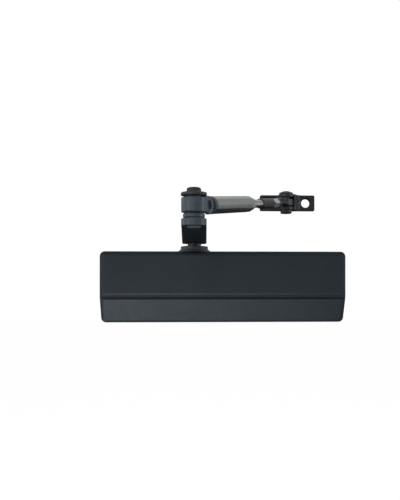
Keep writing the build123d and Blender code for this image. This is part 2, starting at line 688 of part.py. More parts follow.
# ------------------------------------------------------------------ spring and adjuster
def make_main_spring():
    start_x = PISTON_RIGHT + SPRING_WIRE + SPRING_END_GAP
    end_x = SEAT_LEFT - SPRING_WIRE - SPRING_END_GAP
    height = end_x - start_x
    coil = Helix(
        pitch=height / SPRING_TURNS,
        height=height,
        radius=SPRING_RADIUS,
        center=(start_x, BORE_Y, 0),
        direction=(1, 0, 0),
    )
    section = Plane(origin=coil @ 0, z_dir=coil % 0) * Circle(SPRING_WIRE)
    return sweep(section, path=coil, is_frenet=True)


def make_spring_seat():
    seat = in_bore(BORE_RADIUS - 2 * RUN_GAP, SEAT_LEFT, SEAT_RIGHT)
    seat += in_bore(SEAT_HUB_RADIUS, SEAT_HUB_LEFT, SEAT_LEFT)
    return seat - in_bore(ADJUST_SCREW_RADIUS + THREAD_GAP, SEAT_HUB_LEFT, SEAT_RIGHT)


def make_adjust_screw():
    screw = in_bore(ADJUST_SCREW_RADIUS, ADJUST_SCREW_LEFT, ADJUST_HEAD_LEFT)
    screw += in_bore(ADJUST_HEAD_RADIUS, ADJUST_HEAD_LEFT, ADJUST_HEAD_RIGHT)
    socket_start = (ADJUST_HEAD_RIGHT + MARGIN, BORE_Y, 0)
    return screw - hexagon_bar(
        socket_start, (-1, 0, 0), ADJUST_SOCKET_FLATS, ADJUST_SOCKET_DEPTH + MARGIN
    )


def make_circlip():
    right = CIRCLIP_LEFT + CIRCLIP_WIDTH
    ring = in_bore(CIRCLIP_RADIUS, CIRCLIP_LEFT, right)
    ring -= in_bore(ADJUST_SCREW_RADIUS + PRESS_GAP, CIRCLIP_LEFT, right)
    opening_y = (BORE_Y - CIRCLIP_HALF_OPENING, BORE_Y + CIRCLIP_HALF_OPENING)
    return ring - block((CIRCLIP_LEFT, right), opening_y, (0, CIRCLIP_RADIUS + MARGIN))


# ------------------------------------------------------------------ valves
def valve_bar(side, level, radius, outer_depth, inner_depth):
    """A round bar on a valve's axis between two depths under the housing's end face."""
    start = (side * (HOUSING_HALF_LENGTH - outer_depth), VALVE_Y, level * VALVE_Z)
    return bar(start, (-side, 0, 0), radius, inner_depth - outer_depth)


def make_valve(side, level):
    screw = valve_bar(side, level, VALVE_RADIUS, VALVE_HEAD_DEPTH, VALVE_SHANK_DEPTH)
    tip_plane = Plane(
        origin=(side * (HOUSING_HALF_LENGTH - VALVE_SHANK_DEPTH), VALVE_Y, level * VALVE_Z),
        z_dir=(-side, 0, 0),
    )
    tip_length = VALVE_TIP_DEPTH - VALVE_SHANK_DEPTH
    screw += tip_plane * Cone(VALVE_RADIUS, VALVE_TIP_RADIUS, tip_length, align=STAND_ON_BASE)
    groove_ends = (VALVE_SEAL_DEPTH, VALVE_SEAL_DEPTH + VALVE_SEAL_WIDTH)
    groove = valve_bar(side, level, VALVE_RADIUS + MARGIN, *groove_ends)
    screw -= groove - valve_bar(side, level, VALVE_SEAL_BOTTOM, *groove_ends)
    slot_x = sorted(
        (
            side * (HOUSING_HALF_LENGTH - VALVE_SLOT_DEPTH),
            side * (HOUSING_HALF_LENGTH + MARGIN),
        )
    )
    slot_z = level * VALVE_Z
    return screw - block(
        slot_x,
        (VALVE_Y - VALVE_RADIUS, VALVE_Y + VALVE_RADIUS),
        (slot_z - VALVE_SLOT_WIDTH / 2, slot_z + VALVE_SLOT_WIDTH / 2),
    )


def make_valve_seal(side, level):
    depth = VALVE_SEAL_DEPTH + VALVE_SEAL_WIDTH / 2
    centre = (side * (HOUSING_HALF_LENGTH - depth), VALVE_Y, level * VALVE_Z)
    ring_radius = VALVE_RADIUS - VALVE_SEAL_WIRE
    return Plane(origin=centre, z_dir=(1, 0, 0)) * Torus(ring_radius, VALVE_SEAL_WIRE)


# ------------------------------------------------------------------ main arm
def arm_bar():
    """The flat bar between the two round ends, with sides tangent to both."""
    lean = math.asin((ARM_BOSS_RADIUS - ARM_TIP_RADIUS) / ARM_LENGTH)
    boss = Vector(PINION_X, BORE_Y)
    tip = Vector(ELBOW_X, ELBOW_Y)
    right = Vector(math.cos(lean), -math.sin(lean))
    left = Vector(-math.cos(lean), -math.sin(lean))
    outline = Polyline(
        boss + right * ARM_BOSS_RADIUS,
        boss + left * ARM_BOSS_RADIUS,
        tip + left * ARM_TIP_RADIUS,
        tip + right * ARM_TIP_RADIUS,
        close=True,
    )
    plan = make_face(outline)
    plan += Pos(PINION_X, BORE_Y) * Circle(ARM_BOSS_RADIUS)
    plan += Pos(ELBOW_X, ELBOW_Y) * Circle(ARM_TIP_RADIUS)
    flat_bar = extrude(Pos(0, 0, ARM_BOTTOM) * plan, amount=ARM_TOP - ARM_BOTTOM)
    outer_edges = edges_at_height(flat_bar, ARM_TOP) + edges_at_height(flat_bar, ARM_BOTTOM)
    return fillet(outer_edges, ARM_EDGE)


def make_main_arm():
    boss = on_spindle(ARM_BOSS_RADIUS - ARM_EDGE, ARM_BOSS_BOTTOM, ARM_TOP - ARM_EDGE)
    boss = fillet(edges_at_height(boss, ARM_BOSS_BOTTOM), ARM_EDGE)
    arm = arm_bar() + boss
    half_square = SQUARE_DRIVE / 2 + RUN_GAP
    arm -= block(
        (PINION_X - half_square, PINION_X + half_square),
        (BORE_Y - half_square, BORE_Y + half_square),
        (ARM_BOSS_BOTTOM - MARGIN, ARM_TOP + MARGIN),
    )
    return arm - on_elbow(RIVET_SHANK_RADIUS + PRESS_GAP, ARM_BOTTOM - MARGIN, ARM_TOP + MARGIN)


def make_arm_washer():
    top = ARM_TOP + ARM_WASHER_THICKNESS
    washer = on_spindle(ARM_WASHER_RADIUS, ARM_TOP, top)
    return washer - on_spindle(ARM_SCREW_RADIUS + ARM_WASHER_GAP, ARM_TOP, top)


def make_arm_screw():
    head_base = ARM_TOP + ARM_WASHER_THICKNESS
    shank_low = DRIVE_TOP - ARM_SCREW_DEPTH + ARM_SCREW_END_GAP
    screw = on_spindle(ARM_SCREW_RADIUS - THREAD_GAP, shank_low, head_base)
    head_start = (PINION_X, BORE_Y, head_base)
    head = hexagon_bar(head_start, (0, 0, 1), ARM_SCREW_FLATS, ARM_SCREW_HEAD)
    crown_low = head_base - ARM_SCREW_CROWN_DROP
    crown_high = head_base + ARM_SCREW_HEAD
    crown_top_radius = ARM_SCREW_FLATS / 2 - ARM_SCREW_CROWN_INSET
    crown_base_radius = ARM_SCREW_FLATS / 2 + crown_high - crown_low
    crown = cone(PINION_X, BORE_Y, crown_base_radius, crown_top_radius, crown_low, crown_high)
    return screw + (head & crown)


# ------------------------------------------------------------------ elbow
def make_elbow_pin():
    """The shouldered pin riveted into the arm's tip."""
    pin = cone(
        ELBOW_X, ELBOW_Y, RIVET_HEAD_TIP_RADIUS, RIVET_HEAD_RADIUS, RIVET_HEAD_BOTTOM, ARM_BOTTOM
    )
    pin += on_elbow(RIVET_SHANK_RADIUS, ARM_BOTTOM, ARM_TOP)
    pin += on_elbow(PIN_FLANGE_RADIUS, ARM_TOP, SPACER_BOTTOM)
    pin += on_elbow(ELBOW_PIN_RADIUS, SPACER_BOTTOM, ELBOW_PIN_TOP)
    return pin - on_elbow(ELBOW_SCREW_RADIUS, ELBOW_SCREW_LOW - MARGIN, ELBOW_PIN_TOP)


def make_spacer_ring():
    ring = on_elbow(SPACER_RADIUS, SPACER_BOTTOM, SPACER_TOP)
    ring = fillet(ring.edges().filter_by(GeomType.CIRCLE), SPACER_EDGE)
    return ring - on_elbow(ELBOW_PIN_RADIUS + RUN_GAP, SPACER_BOTTOM, SPACER_TOP)


def make_elbow_bushing():
    bushing = on_elbow(BUSHING_RADIUS - PRESS_GAP, BUSHING_BOTTOM, BARREL_TOP)
    bushing += on_elbow(BUSHING_FLANGE_RADIUS, BUSHING_BOTTOM, BARREL_BOTTOM)
    return bushing - on_elbow(ELBOW_PIN_RADIUS + RUN_GAP, BUSHING_BOTTOM, BARREL_TOP)


def make_elbow_washer():
    washer = on_elbow(ELBOW_WASHER_RADIUS, ELBOW_PIN_TOP, ELBOW_WASHER_TOP)
    washer = fillet(washer.edges().filter_by(GeomType.CIRCLE), ELBOW_WASHER_EDGE)
    hole_radius = ELBOW_SCREW_RADIUS + ELBOW_WASHER_GAP
    return washer - on_elbow(hole_radius, ELBOW_PIN_TOP, ELBOW_WASHER_TOP)


def make_elbow_screw():
    head = on_elbow(ELBOW_HEAD_RADIUS, ELBOW_WASHER_TOP, ELBOW_HEAD_TOP)
    head = fillet(edges_at_height(head, ELBOW_HEAD_TOP), ELBOW_HEAD_DOME)
    screw = head + on_elbow(ELBOW_SCREW_RADIUS - THREAD_GAP, ELBOW_SCREW_LOW, ELBOW_WASHER_TOP)
    socket_start = (ELBOW_X, ELBOW_Y, ELBOW_HEAD_TOP + MARGIN)
    return screw - hexagon_bar(
        socket_start, (0, 0, -1), ELBOW_SOCKET_FLATS, ELBOW_SOCKET_DEPTH + MARGIN
    )


# ------------------------------------------------------------------ knuckle
def cross_bar(radius, half_length):
    """A round bar on the cross pin's axis, centred on the forearm."""
    start = CROSS_PIN_CENTRE - CROSS_PIN_DIRECTION * half_length
    return bar(start, CROSS_PIN_DIRECTION, radius, 2 * half_length)


def knuckle_block(along, half_width, half_height):
    """A box in the knuckle's level frame, from one distance along the forearm to another."""
    begin, end = along
    middle = (begin + end) / 2
    return KNUCKLE_PLANE * Pos(middle, 0, 0) * Box(end - begin, 2 * half_width, 2 * half_height)


def make_elbow_knuckle():
    barrel = on_elbow(BARREL_RADIUS, BARREL_BOTTOM, BARREL_TOP)
    barrel = fillet(barrel.edges().filter_by(GeomType.CIRCLE), BARREL_EDGE)
    ears = cross_bar(EAR_RADIUS, FORK_HALF_WIDTH)
    half_barrel = (BARREL_TOP - BARREL_BOTTOM) / 2 - BARREL_EDGE
    neck = knuckle_block((0, CROSS_PIN_REACH), FORK_HALF_WIDTH, half_barrel)
    knuckle = barrel + ears + neck
    knuckle -= on_elbow(SPOT_FACE_RADIUS, BARREL_TOP, ELBOW_WASHER_TOP)
    slot_half = TONGUE_HALF_WIDTH + TONGUE_GAP
    slot_end = CROSS_PIN_REACH + EAR_RADIUS + MARGIN
    knuckle -= knuckle_block((SLOT_START, slot_end), slot_half, EAR_RADIUS + MARGIN)
    knuckle -= cross_bar(CROSS_PIN_RADIUS + PRESS_GAP, FORK_HALF_WIDTH + MARGIN)
    return knuckle - on_elbow(BUSHING_RADIUS, BARREL_BOTTOM - MARGIN, BARREL_TOP + MARGIN)


def make_cross_pin():
    return cross_bar(CROSS_PIN_RADIUS, CROSS_PIN_HALF_LENGTH)


# ------------------------------------------------------------------ forearm
def make_tube_end_fitting():
    """The tongue that turns in the knuckle's fork, with its collar and its spigot in the tube."""
    fitting = cross_bar(TONGUE_EYE_RADIUS, TONGUE_HALF_WIDTH)
    tongue_length = COLLAR_START + MARGIN
    tongue = Box(2 * TONGUE_HALF_WIDTH, 2 * TONGUE_EYE_RADIUS, tongue_length, align=STAND_ON_BASE)
    fitting += FOREARM_PLANE * tongue
    collar = on_forearm(FOREARM_RADIUS, COLLAR_START, TUBE_START)
    fitting += fillet(collar.edges().filter_by(GeomType.CIRCLE), COLLAR_EDGE)
    fitting += on_forearm(FOREARM_RADIUS - TUBE_WALL - PRESS_GAP, TUBE_START, SPIGOT_END)
    return fitting - cross_bar(CROSS_PIN_RADIUS + RUN_GAP, FORK_HALF_WIDTH)


def make_forearm_tube():
    tube = on_forearm(FOREARM_RADIUS, TUBE_START, TUBE_END)
    along = Axis(CROSS_PIN_CENTRE, FOREARM_DIRECTION)
    tube = chamfer(tube.edges().filter_by(GeomType.CIRCLE).sort_by(along)[-1], TUBE_CHAMFER)
    return tube - on_forearm(FOREARM_RADIUS - TUBE_WALL, TUBE_START, TUBE_END)


def make_thread_insert():
    insert = on_forearm(FOREARM_RADIUS - TUBE_WALL - PRESS_GAP, INSERT_START, TUBE_END)
    return insert - on_forearm(ROD_RADIUS + RUN_GAP, INSERT_START, TUBE_END)


def make_jam_nut():
    """A hexagon nut with its corners turned down at both faces."""
    begin = CROSS_PIN_CENTRE + FOREARM_DIRECTION * NUT_START
    nut = hexagon_bar(begin, FOREARM_DIRECTION, NUT_FLATS, NUT_THICKNESS)
    crown_low = NUT_FLATS / 2 - NUT_CROWN_INSET
    crown_rise = 2 * NUT_THICKNESS
    crown_high = crown_low + crown_rise * NUT_CROWN_RUN
    for start, direction in (
        (NUT_START, FOREARM_DIRECTION),
        (NUT_START + NUT_THICKNESS, FOREARM_DIRECTION * -1),
    ):
        crown_plane = Plane(origin=CROSS_PIN_CENTRE + FOREARM_DIRECTION * start, z_dir=direction)
        nut &= crown_plane * Cone(crown_low, crown_high, crown_rise, align=STAND_ON_BASE)
    return nut - on_forearm(ROD_RADIUS + RUN_GAP, NUT_START, NUT_START + NUT_THICKNESS)


def make_threaded_rod():
    rod = on_forearm(ROD_RADIUS, ROD_START, ROD_END_START + ROD_SOCKET_DEPTH - ROD_TIP_GAP)
    return chamfer(rod.edges().filter_by(GeomType.CIRCLE), ROD_CHAMFER)


def make_rod_end():
    """A forged rod end: round shank, flattened towards the level eye."""
    shank = on_forearm(SHANK_RADIUS, ROD_END_START, SHANK_FULL_END)
    round_section = FOREARM_PLANE * Pos(0, 0, SHANK_FULL_END) * Circle(SHANK_RADIUS)
    flat_reach = FOREARM_LENGTH - EYE_RADIUS
    flat_section = EYE_PLANE * Plane.YZ * Pos(0, 0, flat_reach - FOREARM_LENGTH)
    flat_section *= Rectangle(NECK_WIDTH, EYE_THICKNESS)
    neck = loft([round_section, flat_section])
    half = EYE_THICKNESS / 2
    eye = on_shoe_pin(EYE_RADIUS, -half, half)
    bridge = EYE_PLANE * Pos(-EYE_RADIUS / 2, 0, 0) * Box(EYE_RADIUS, NECK_WIDTH, EYE_THICKNESS)
    body = shank + neck + bridge + eye
    body -= on_shoe_pin(EYE_BUSH_RADIUS, -half - MARGIN, half + MARGIN)
    socket_end = ROD_END_START + ROD_SOCKET_DEPTH
    return body - on_forearm(ROD_RADIUS + THREAD_GAP, ROD_END_START - MARGIN, socket_end)


def make_eye_bush():
    half = EYE_THICKNESS / 2
    bush = on_shoe_pin(EYE_BUSH_RADIUS - PRESS_GAP, -half, half)
    return bush - on_shoe_pin(SHOE_PIN_RADIUS + RUN_GAP, -half, half)


# ------------------------------------------------------------------ shoe
def shoe_block(x_range, y_range, z_range):
    """A box in the shoe's own frame, whose origin is the middle of the pin."""
    return SHOE_PLANE * block(x_range, y_range, z_range)


def in_shoe(radius, low, high):
    """A round bar on the shoe pin's axis, measured from the shoe's mid height."""
    return upright(SHOE_CENTRE.X, SHOE_CENTRE.Y, radius, SHOE_CENTRE.Z + low, SHOE_CENTRE.Z + high)


def make_shoe_bracket():
    half_height = SHOE_HEIGHT / 2
    left = SHOE_PIN_OFFSET - SHOE_LENGTH / 2
    right = SHOE_PIN_OFFSET + SHOE_LENGTH / 2
    back = SHOE_PLATE_FRONT + SHOE_PLATE_THICKNESS
    plate = shoe_block((left, right), (SHOE_PLATE_FRONT, back), (-half_height, half_height))
    bracket = fillet(plate.edges().filter_by(Axis.Y), SHOE_CORNER)
    into_plate = SHOE_PLATE_FRONT + MARGIN
    for low, high in (
        (half_height - EAR_THICKNESS, half_height),
        (-half_height, EAR_THICKNESS - half_height),
    ):
        bracket += in_shoe(SHOE_EAR_RADIUS, low, high)
        ear_sides = (-SHOE_EAR_RADIUS, GUSSET_NEAR + MARGIN)
        bracket += shoe_block(ear_sides, (0, into_plate), (low, high))
    gusset_plan = Polyline(
        (GUSSET_NEAR, GUSSET_TIP_Y),
        (GUSSET_FAR, into_plate),
        (SHOE_EAR_RADIUS, into_plate),
        (SHOE_EAR_RADIUS, GUSSET_EAR_Y),
        (GUSSET_NEAR, GUSSET_HEEL_Y),
        close=True,
    )
    gusset_base = SHOE_PLANE * Pos(0, 0, -half_height) * make_face(gusset_plan)
    bracket += extrude(gusset_base, amount=SHOE_HEIGHT)
    for side in (-1, 1):
        x = SHOE_CENTRE.X + SHOE_PIN_OFFSET + side * SHOE_HOLE_SPACING / 2
        y = SHOE_CENTRE.Y + SHOE_PLATE_FRONT
        start = (x, y - MARGIN, SHOE_CENTRE.Z)
        bracket -= bar(start, (0, 1, 0), SHOE_HOLE_RADIUS, SHOE_PLATE_THICKNESS + 2 * MARGIN)
        sink_plane = Plane(origin=(x, y, SHOE_CENTRE.Z), z_dir=(0, 1, 0))
        bracket -= sink_plane * Cone(
            SHOE_SINK_RADIUS, SHOE_HOLE_RADIUS, SHOE_SINK_DEPTH, align=STAND_ON_BASE
        )
    hole_reach = half_height + MARGIN
    return bracket - in_shoe(SHOE_PIN_RADIUS + PRESS_GAP, -hole_reach, hole_reach)


def make_shoe_pin():
    half_height = SHOE_HEIGHT / 2
    pin = in_shoe(SHOE_PIN_RADIUS, -half_height, half_height)
    rim_top = half_height + PIN_DOME_RIM
    cap_rise = PIN_DOME_HEIGHT - PIN_DOME_RIM
    sphere_radius = (PIN_DOME_RADIUS**2 + cap_rise**2) / (2 * cap_rise)
    pin += in_shoe(PIN_DOME_RADIUS, half_height, rim_top)
    dome_centre = SHOE_CENTRE + Vector(0, 0, rim_top + cap_rise - sphere_radius)
    dome = Pos(*dome_centre) * Sphere(sphere_radius)
    pin += dome & in_shoe(PIN_DOME_RADIUS, rim_top, rim_top + cap_rise + MARGIN)
    foot = in_shoe(PIN_FOOT_RADIUS, -half_height - PIN_FOOT_HEIGHT, -half_height)
    foot = fillet(edges_at_height(foot, SHOE_CENTRE.Z - half_height - PIN_FOOT_HEIGHT), PIN_FOOT_EDGE)
    return pin + foot


# ------------------------------------------------------------------ all nodes
def make_nodes():
    nodes = {
        "closer_housing": make_housing(),
        "left_end_plug": make_end_plug(-1),
        "right_end_plug": make_end_plug(1),
        "left_plug_seal": make_plug_seal(-1),
        "right_plug_seal": make_plug_seal(1),
        "upper_bearing": make_upper_bearing(),
        "lower_bearing": make_lower_bearing(),
        "shaft_seal": make_shaft_seal(),
        "spindle_collar": make_spindle_collar(),
        "lower_bore_cap": make_lower_cap(),
        "left_cover_clip": make_cover_clip(-1),
        "right_cover_clip": make_cover_clip(1),
        "clip_screws": Compound(children=[make_clip_screw(-1), make_clip_screw(1)]),
        "cover": make_cover(),
        "pinion_shaft": make_pinion_shaft(),
        "rack_piston": make_rack_piston(),
        "piston_seal": make_piston_seal(),
        "check_ball": make_check_ball(),
        "ball_retainer": make_ball_retainer(),
        "main_spring": make_main_spring(),
        "spring_seat": make_spring_seat(),
        "power_adjust_screw": make_adjust_screw(),
        "adjust_circlip": make_circlip(),
        "main_arm": make_main_arm(),
        "arm_washer": make_arm_washer(),
        "arm_screw": make_arm_screw(),
        "elbow_pin": make_elbow_pin(),
        "spacer_ring": make_spacer_ring(),
        "elbow_bushing": make_elbow_bushing(),
        "elbow_washer": make_elbow_washer(),
        "elbow_screw": make_elbow_screw(),
        "elbow_knuckle": make_elbow_knuckle(),
        "cross_pin": make_cross_pin(),
        "tube_end_fitting": make_tube_end_fitting(),
        "forearm_tube": make_forearm_tube(),
        "thread_insert": make_thread_insert(),
        "jam_nut": make_jam_nut(),
        "threaded_rod": make_threaded_rod(),
        "rod_end": make_rod_end(),
        "eye_bush": make_eye_bush(),
        "shoe_bracket": make_shoe_bracket(),
        "shoe_pin": make_shoe_pin(),
    }
    for name, (side, level) in VALVES.items():
        nodes[name] = make_valve(side, level)
        nodes[name + "_seal"] = make_valve_seal(side, level)
    return nodes


os.makedirs("parts", exist_ok=True)
for node_name, node_shape in make_nodes().items():
    export_step(node_shape, f"parts/{node_name}.step")
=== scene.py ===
import itertools
import json
import math

import bpy
import numpy as np
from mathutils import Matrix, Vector


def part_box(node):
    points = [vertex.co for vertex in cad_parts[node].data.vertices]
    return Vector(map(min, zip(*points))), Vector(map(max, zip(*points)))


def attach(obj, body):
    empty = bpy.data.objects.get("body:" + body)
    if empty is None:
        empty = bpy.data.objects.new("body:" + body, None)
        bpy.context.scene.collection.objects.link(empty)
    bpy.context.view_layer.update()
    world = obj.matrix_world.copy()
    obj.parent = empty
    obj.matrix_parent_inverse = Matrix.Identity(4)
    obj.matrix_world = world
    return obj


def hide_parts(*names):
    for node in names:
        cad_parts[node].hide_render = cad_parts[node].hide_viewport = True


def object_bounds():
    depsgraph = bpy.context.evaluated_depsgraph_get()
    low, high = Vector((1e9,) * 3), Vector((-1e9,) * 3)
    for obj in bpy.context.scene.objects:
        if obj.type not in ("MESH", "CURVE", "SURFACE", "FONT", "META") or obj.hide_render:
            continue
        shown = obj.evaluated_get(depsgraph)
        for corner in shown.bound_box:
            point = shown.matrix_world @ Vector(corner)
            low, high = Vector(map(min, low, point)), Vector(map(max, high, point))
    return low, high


# A surface-mounted door closer.  Shapes are worked out in millimetres, in the CAD's frame:
# +Z up, -Y away from the door, +X to the right.
MM = 0.001
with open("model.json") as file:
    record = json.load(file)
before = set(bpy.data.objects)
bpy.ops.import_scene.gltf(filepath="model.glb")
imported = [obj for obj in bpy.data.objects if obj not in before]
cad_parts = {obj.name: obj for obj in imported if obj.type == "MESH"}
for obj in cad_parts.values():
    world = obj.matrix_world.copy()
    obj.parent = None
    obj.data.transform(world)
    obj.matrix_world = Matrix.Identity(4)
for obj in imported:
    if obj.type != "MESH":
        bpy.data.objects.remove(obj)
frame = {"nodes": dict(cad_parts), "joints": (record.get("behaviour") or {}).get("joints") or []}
cad_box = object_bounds()
joints = {joint["name"]: joint for joint in frame["joints"]}


def place_of(joint_name):
    """A joint's position at rest, in millimetres."""
    return np.array(joints[joint_name]["pos_m"], float) / MM


def axis_of(joint_name):
    """A joint's axis as a unit vector."""
    axis = np.array(joints[joint_name]["axis"], float)
    return axis / np.linalg.norm(axis)


# ------------------------------------------------------------------ camera, floor and light
CAMERA_PLACE = Vector((-0.0301, -0.7167, 0.00765))
CAMERA_TURN = math.radians(2.5)
CAMERA_LENS = 44.64
CAMERA_SHIFT = (-0.0454, 0.06)
FLOOR_DROP = 0.38
FLOOR_SIZE = 6.0
FLOOR_TONE = 0.4
FLOOR_ROUGHNESS = 0.9
FLOOR_GLOW = 0.84
FLOOR_DARK = 0.003
# for each side of the floor: (near edge, light there), (far edge, light there), in metres
FLOOR_LIGHT = {"X": ((1.0, 0.0), (1.6, 0.28)), "Y": ((-0.32, 0.0), (-0.75, 0.17))}
CLIP_START = 0.01
CLIP_END = 50.0
SENSOR_WIDTH = 36.0


def make_camera():
    camera = bpy.data.objects.new("camera", bpy.data.cameras.new("camera"))
    bpy.context.scene.collection.objects.link(camera)
    looking = Vector((math.sin(CAMERA_TURN), math.cos(CAMERA_TURN), 0))
    camera.location = CAMERA_PLACE
    camera.rotation_mode = "QUATERNION"
    camera.rotation_quaternion = looking.to_track_quat("-Z", "Y")
    camera.data.sensor_width = SENSOR_WIDTH
    camera.data.lens = CAMERA_LENS
    camera.data.shift_x, camera.data.shift_y = CAMERA_SHIFT
    camera.data.clip_start = CLIP_START
    camera.data.clip_end = CLIP_END
    bpy.context.scene.camera = camera


def make_floor():
    """A pale floor, which lights the object from the front and the right only, as a sweep does."""
    level = cad_box[0].z - FLOOR_DROP
    corners = [
        (x * FLOOR_SIZE, y * FLOOR_SIZE, level) for x, y in ((-1, -1), (1, -1), (1, 1), (-1, 1))
    ]
    mesh = bpy.data.meshes.new("floor")
    mesh.from_pydata(corners, [], [(0, 1, 2, 3)])
    floor = bpy.data.objects.new("floor", mesh)
    bpy.context.scene.collection.objects.link(floor)
    material = bpy.data.materials.new("floor")
    material.use_nodes = True
    nodes = material.node_tree.nodes
    links = material.node_tree.links
    seen = nodes["Principled BSDF"]
    seen.inputs["Base Color"].default_value = (FLOOR_TONE, FLOOR_TONE, FLOOR_TONE, 1)
    seen.inputs["Roughness"].default_value = FLOOR_ROUGHNESS
    seen.inputs["Specular IOR Level"].default_value = 0.0
    seen.inputs["Emission Color"].default_value = (1, 1, 1, 1)
    seen.inputs["Emission Strength"].default_value = FLOOR_GLOW
    split = nodes.new("ShaderNodeSeparateXYZ")
    links.new(nodes.new("ShaderNodeTexCoord").outputs["Object"], split.inputs[0])
    total = None
    for side, ((near, dark), (far, bright)) in FLOOR_LIGHT.items():
        sweep = nodes.new("ShaderNodeMapRange")
        sweep.interpolation_type = "SMOOTHSTEP"
        sweep.inputs["From Min"].default_value = near
        sweep.inputs["From Max"].default_value = far
        sweep.inputs["To Min"].default_value = dark
        sweep.inputs["To Max"].default_value = bright
        links.new(split.outputs[side], sweep.inputs["Value"])
        add = nodes.new("ShaderNodeMath")
        links.new(sweep.outputs[0], add.inputs[0])
        add.inputs[1].default_value = FLOOR_DARK
        if total is not None:
            links.new(total, add.inputs[1])
        total = add.outputs[0]
    light = nodes.new("ShaderNodeEmission")
    links.new(total, light.inputs["Strength"])
    path = nodes.new("ShaderNodeLightPath")
    mix = nodes.new("ShaderNodeMixShader")
    links.new(path.outputs["Is Camera Ray"], mix.inputs[0])
    links.new(light.outputs[0], mix.inputs[1])
    links.new(seen.outputs[0], mix.inputs[2])
    links.new(mix.outputs[0], nodes["Material Output"].inputs["Surface"])
    mesh.materials.append(material)


# height from straight down (0) to straight up (1), and the light from there
SKY_STOPS = ((0.0, 0.016), (0.48, 0.016), (0.51, 0.36), (0.62, 0.38), (1.0, 0.42))
SHADE_SIDE = (0.64, -0.77, 0.0)
SHADE_START = 0.45
SHADE_DEPTH = 0.35
GROUND_WHITE = 1.02


def make_world():
    """Soft light from above, dimmer from the front right, and a plain white ground to the eye."""
    world = bpy.data.worlds.new("studio")
    bpy.context.scene.world = world
    world.use_nodes = True
    nodes = world.node_tree.nodes
    links = world.node_tree.links
    nodes.clear()
    direction = nodes.new("ShaderNodeTexCoord")
    split = nodes.new("ShaderNodeSeparateXYZ")
    links.new(direction.outputs["Generated"], split.inputs[0])
    height = nodes.new("ShaderNodeMapRange")
    height.inputs["From Min"].default_value = -1.0
    links.new(split.outputs["Z"], height.inputs["Value"])
    shade = nodes.new("ShaderNodeValToRGB")
    stops = shade.color_ramp.elements
    for position, _ in SKY_STOPS[1:-1]:
        stops.new(position)
    for stop, (position, level) in zip(stops, SKY_STOPS):
        stop.position = position
        stop.color = (level, level, level, 1)
    links.new(height.outputs[0], shade.inputs[0])
    light = nodes.new("ShaderNodeBackground")
    links.new(shade.outputs[0], light.inputs["Color"])
    toward = nodes.new("ShaderNodeVectorMath")
    toward.operation = "DOT_PRODUCT"
    links.new(direction.outputs["Generated"], toward.inputs[0])
    toward.inputs[1].default_value = SHADE_SIDE
    dim = nodes.new("ShaderNodeMapRange")
    dim.interpolation_type = "SMOOTHSTEP"
    dim.inputs["From Min"].default_value = SHADE_START
    dim.inputs["To Min"].default_value = 1.0
    dim.inputs["To Max"].default_value = SHADE_DEPTH
    links.new(toward.outputs["Value"], dim.inputs["Value"])
    links.new(dim.outputs[0], light.inputs["Strength"])
    ground = nodes.new("ShaderNodeBackground")
    ground.inputs["Color"].default_value = (1, 1, 1, 1)
    ground.inputs["Strength"].default_value = GROUND_WHITE
    path = nodes.new("ShaderNodeLightPath")
    mix = nodes.new("ShaderNodeMixShader")
    links.new(path.outputs["Is Camera Ray"], mix.inputs[0])
    links.new(light.outputs[0], mix.inputs[1])
    links.new(ground.outputs[0], mix.inputs[2])
    output = nodes.new("ShaderNodeOutputWorld")
    links.new(mix.outputs[0], output.inputs["Surface"])


COVER_FILL = "cover_fill"
# place, target, (width, height) and power
LAMPS = {
    "back_top": ((0.0, 0.60, 0.62), (0.0, -0.1, 0.05), (0.9, 0.35), 0.25),
    "left_key": ((-0.78, -0.82, 0.10), (-0.02, -0.1, 0.03), (0.5, 0.7), 1.5),
    "left_rim": ((-0.85, 0.02, 0.12), (-0.03, -0.2, 0.06), (0.25, 0.5), 0.5),
    "front_strip": ((-0.16, -1.05, 0.06), (-0.03, -0.2, 0.06), (0.06, 0.9), 0.5),
    "right_rim": ((0.85, -0.22, 0.12), (0.0, -0.15, 0.06), (0.3, 0.5), 1.1),
    COVER_FILL: ((-0.15, -0.34, -0.385), (-0.04, -0.048, -0.025), (0.6, 0.2), 2.9),
}


def make_lamps():
    """Soft lamps out of view.  The fill is flagged off everything but the cover, as on a set."""
    for name, (place, target, (width, height), power) in LAMPS.items():
        data = bpy.data.lights.new(name, "AREA")
        data.shape = "RECTANGLE"
        data.size = width
        data.size_y = height
        data.energy = power
        lamp = bpy.data.objects.new(name, data)
        lamp.location = place
        lamp.rotation_mode = "QUATERNION"
        lamp.rotation_quaternion = (Vector(target) - Vector(place)).to_track_quat("-Z", "Y")
        lamp.visible_camera = False
        bpy.context.scene.collection.objects.link(lamp)
        if name == COVER_FILL:
            lit = bpy.data.collections.new(COVER_FILL + "_lit")
            lit.objects.link(frame["nodes"]["cover"])
            lamp.light_linking.receiver_collection = lit


# ------------------------------------------------------------------ materials
# Texture scales are in cycles a metre, and heights and edge radii are in metres.
EDGE_SAMPLES = 4
EDGE_STARTS = 0.995  # how far a rounded normal agrees with the flat one where wear starts
EDGE_FULL = 0.90


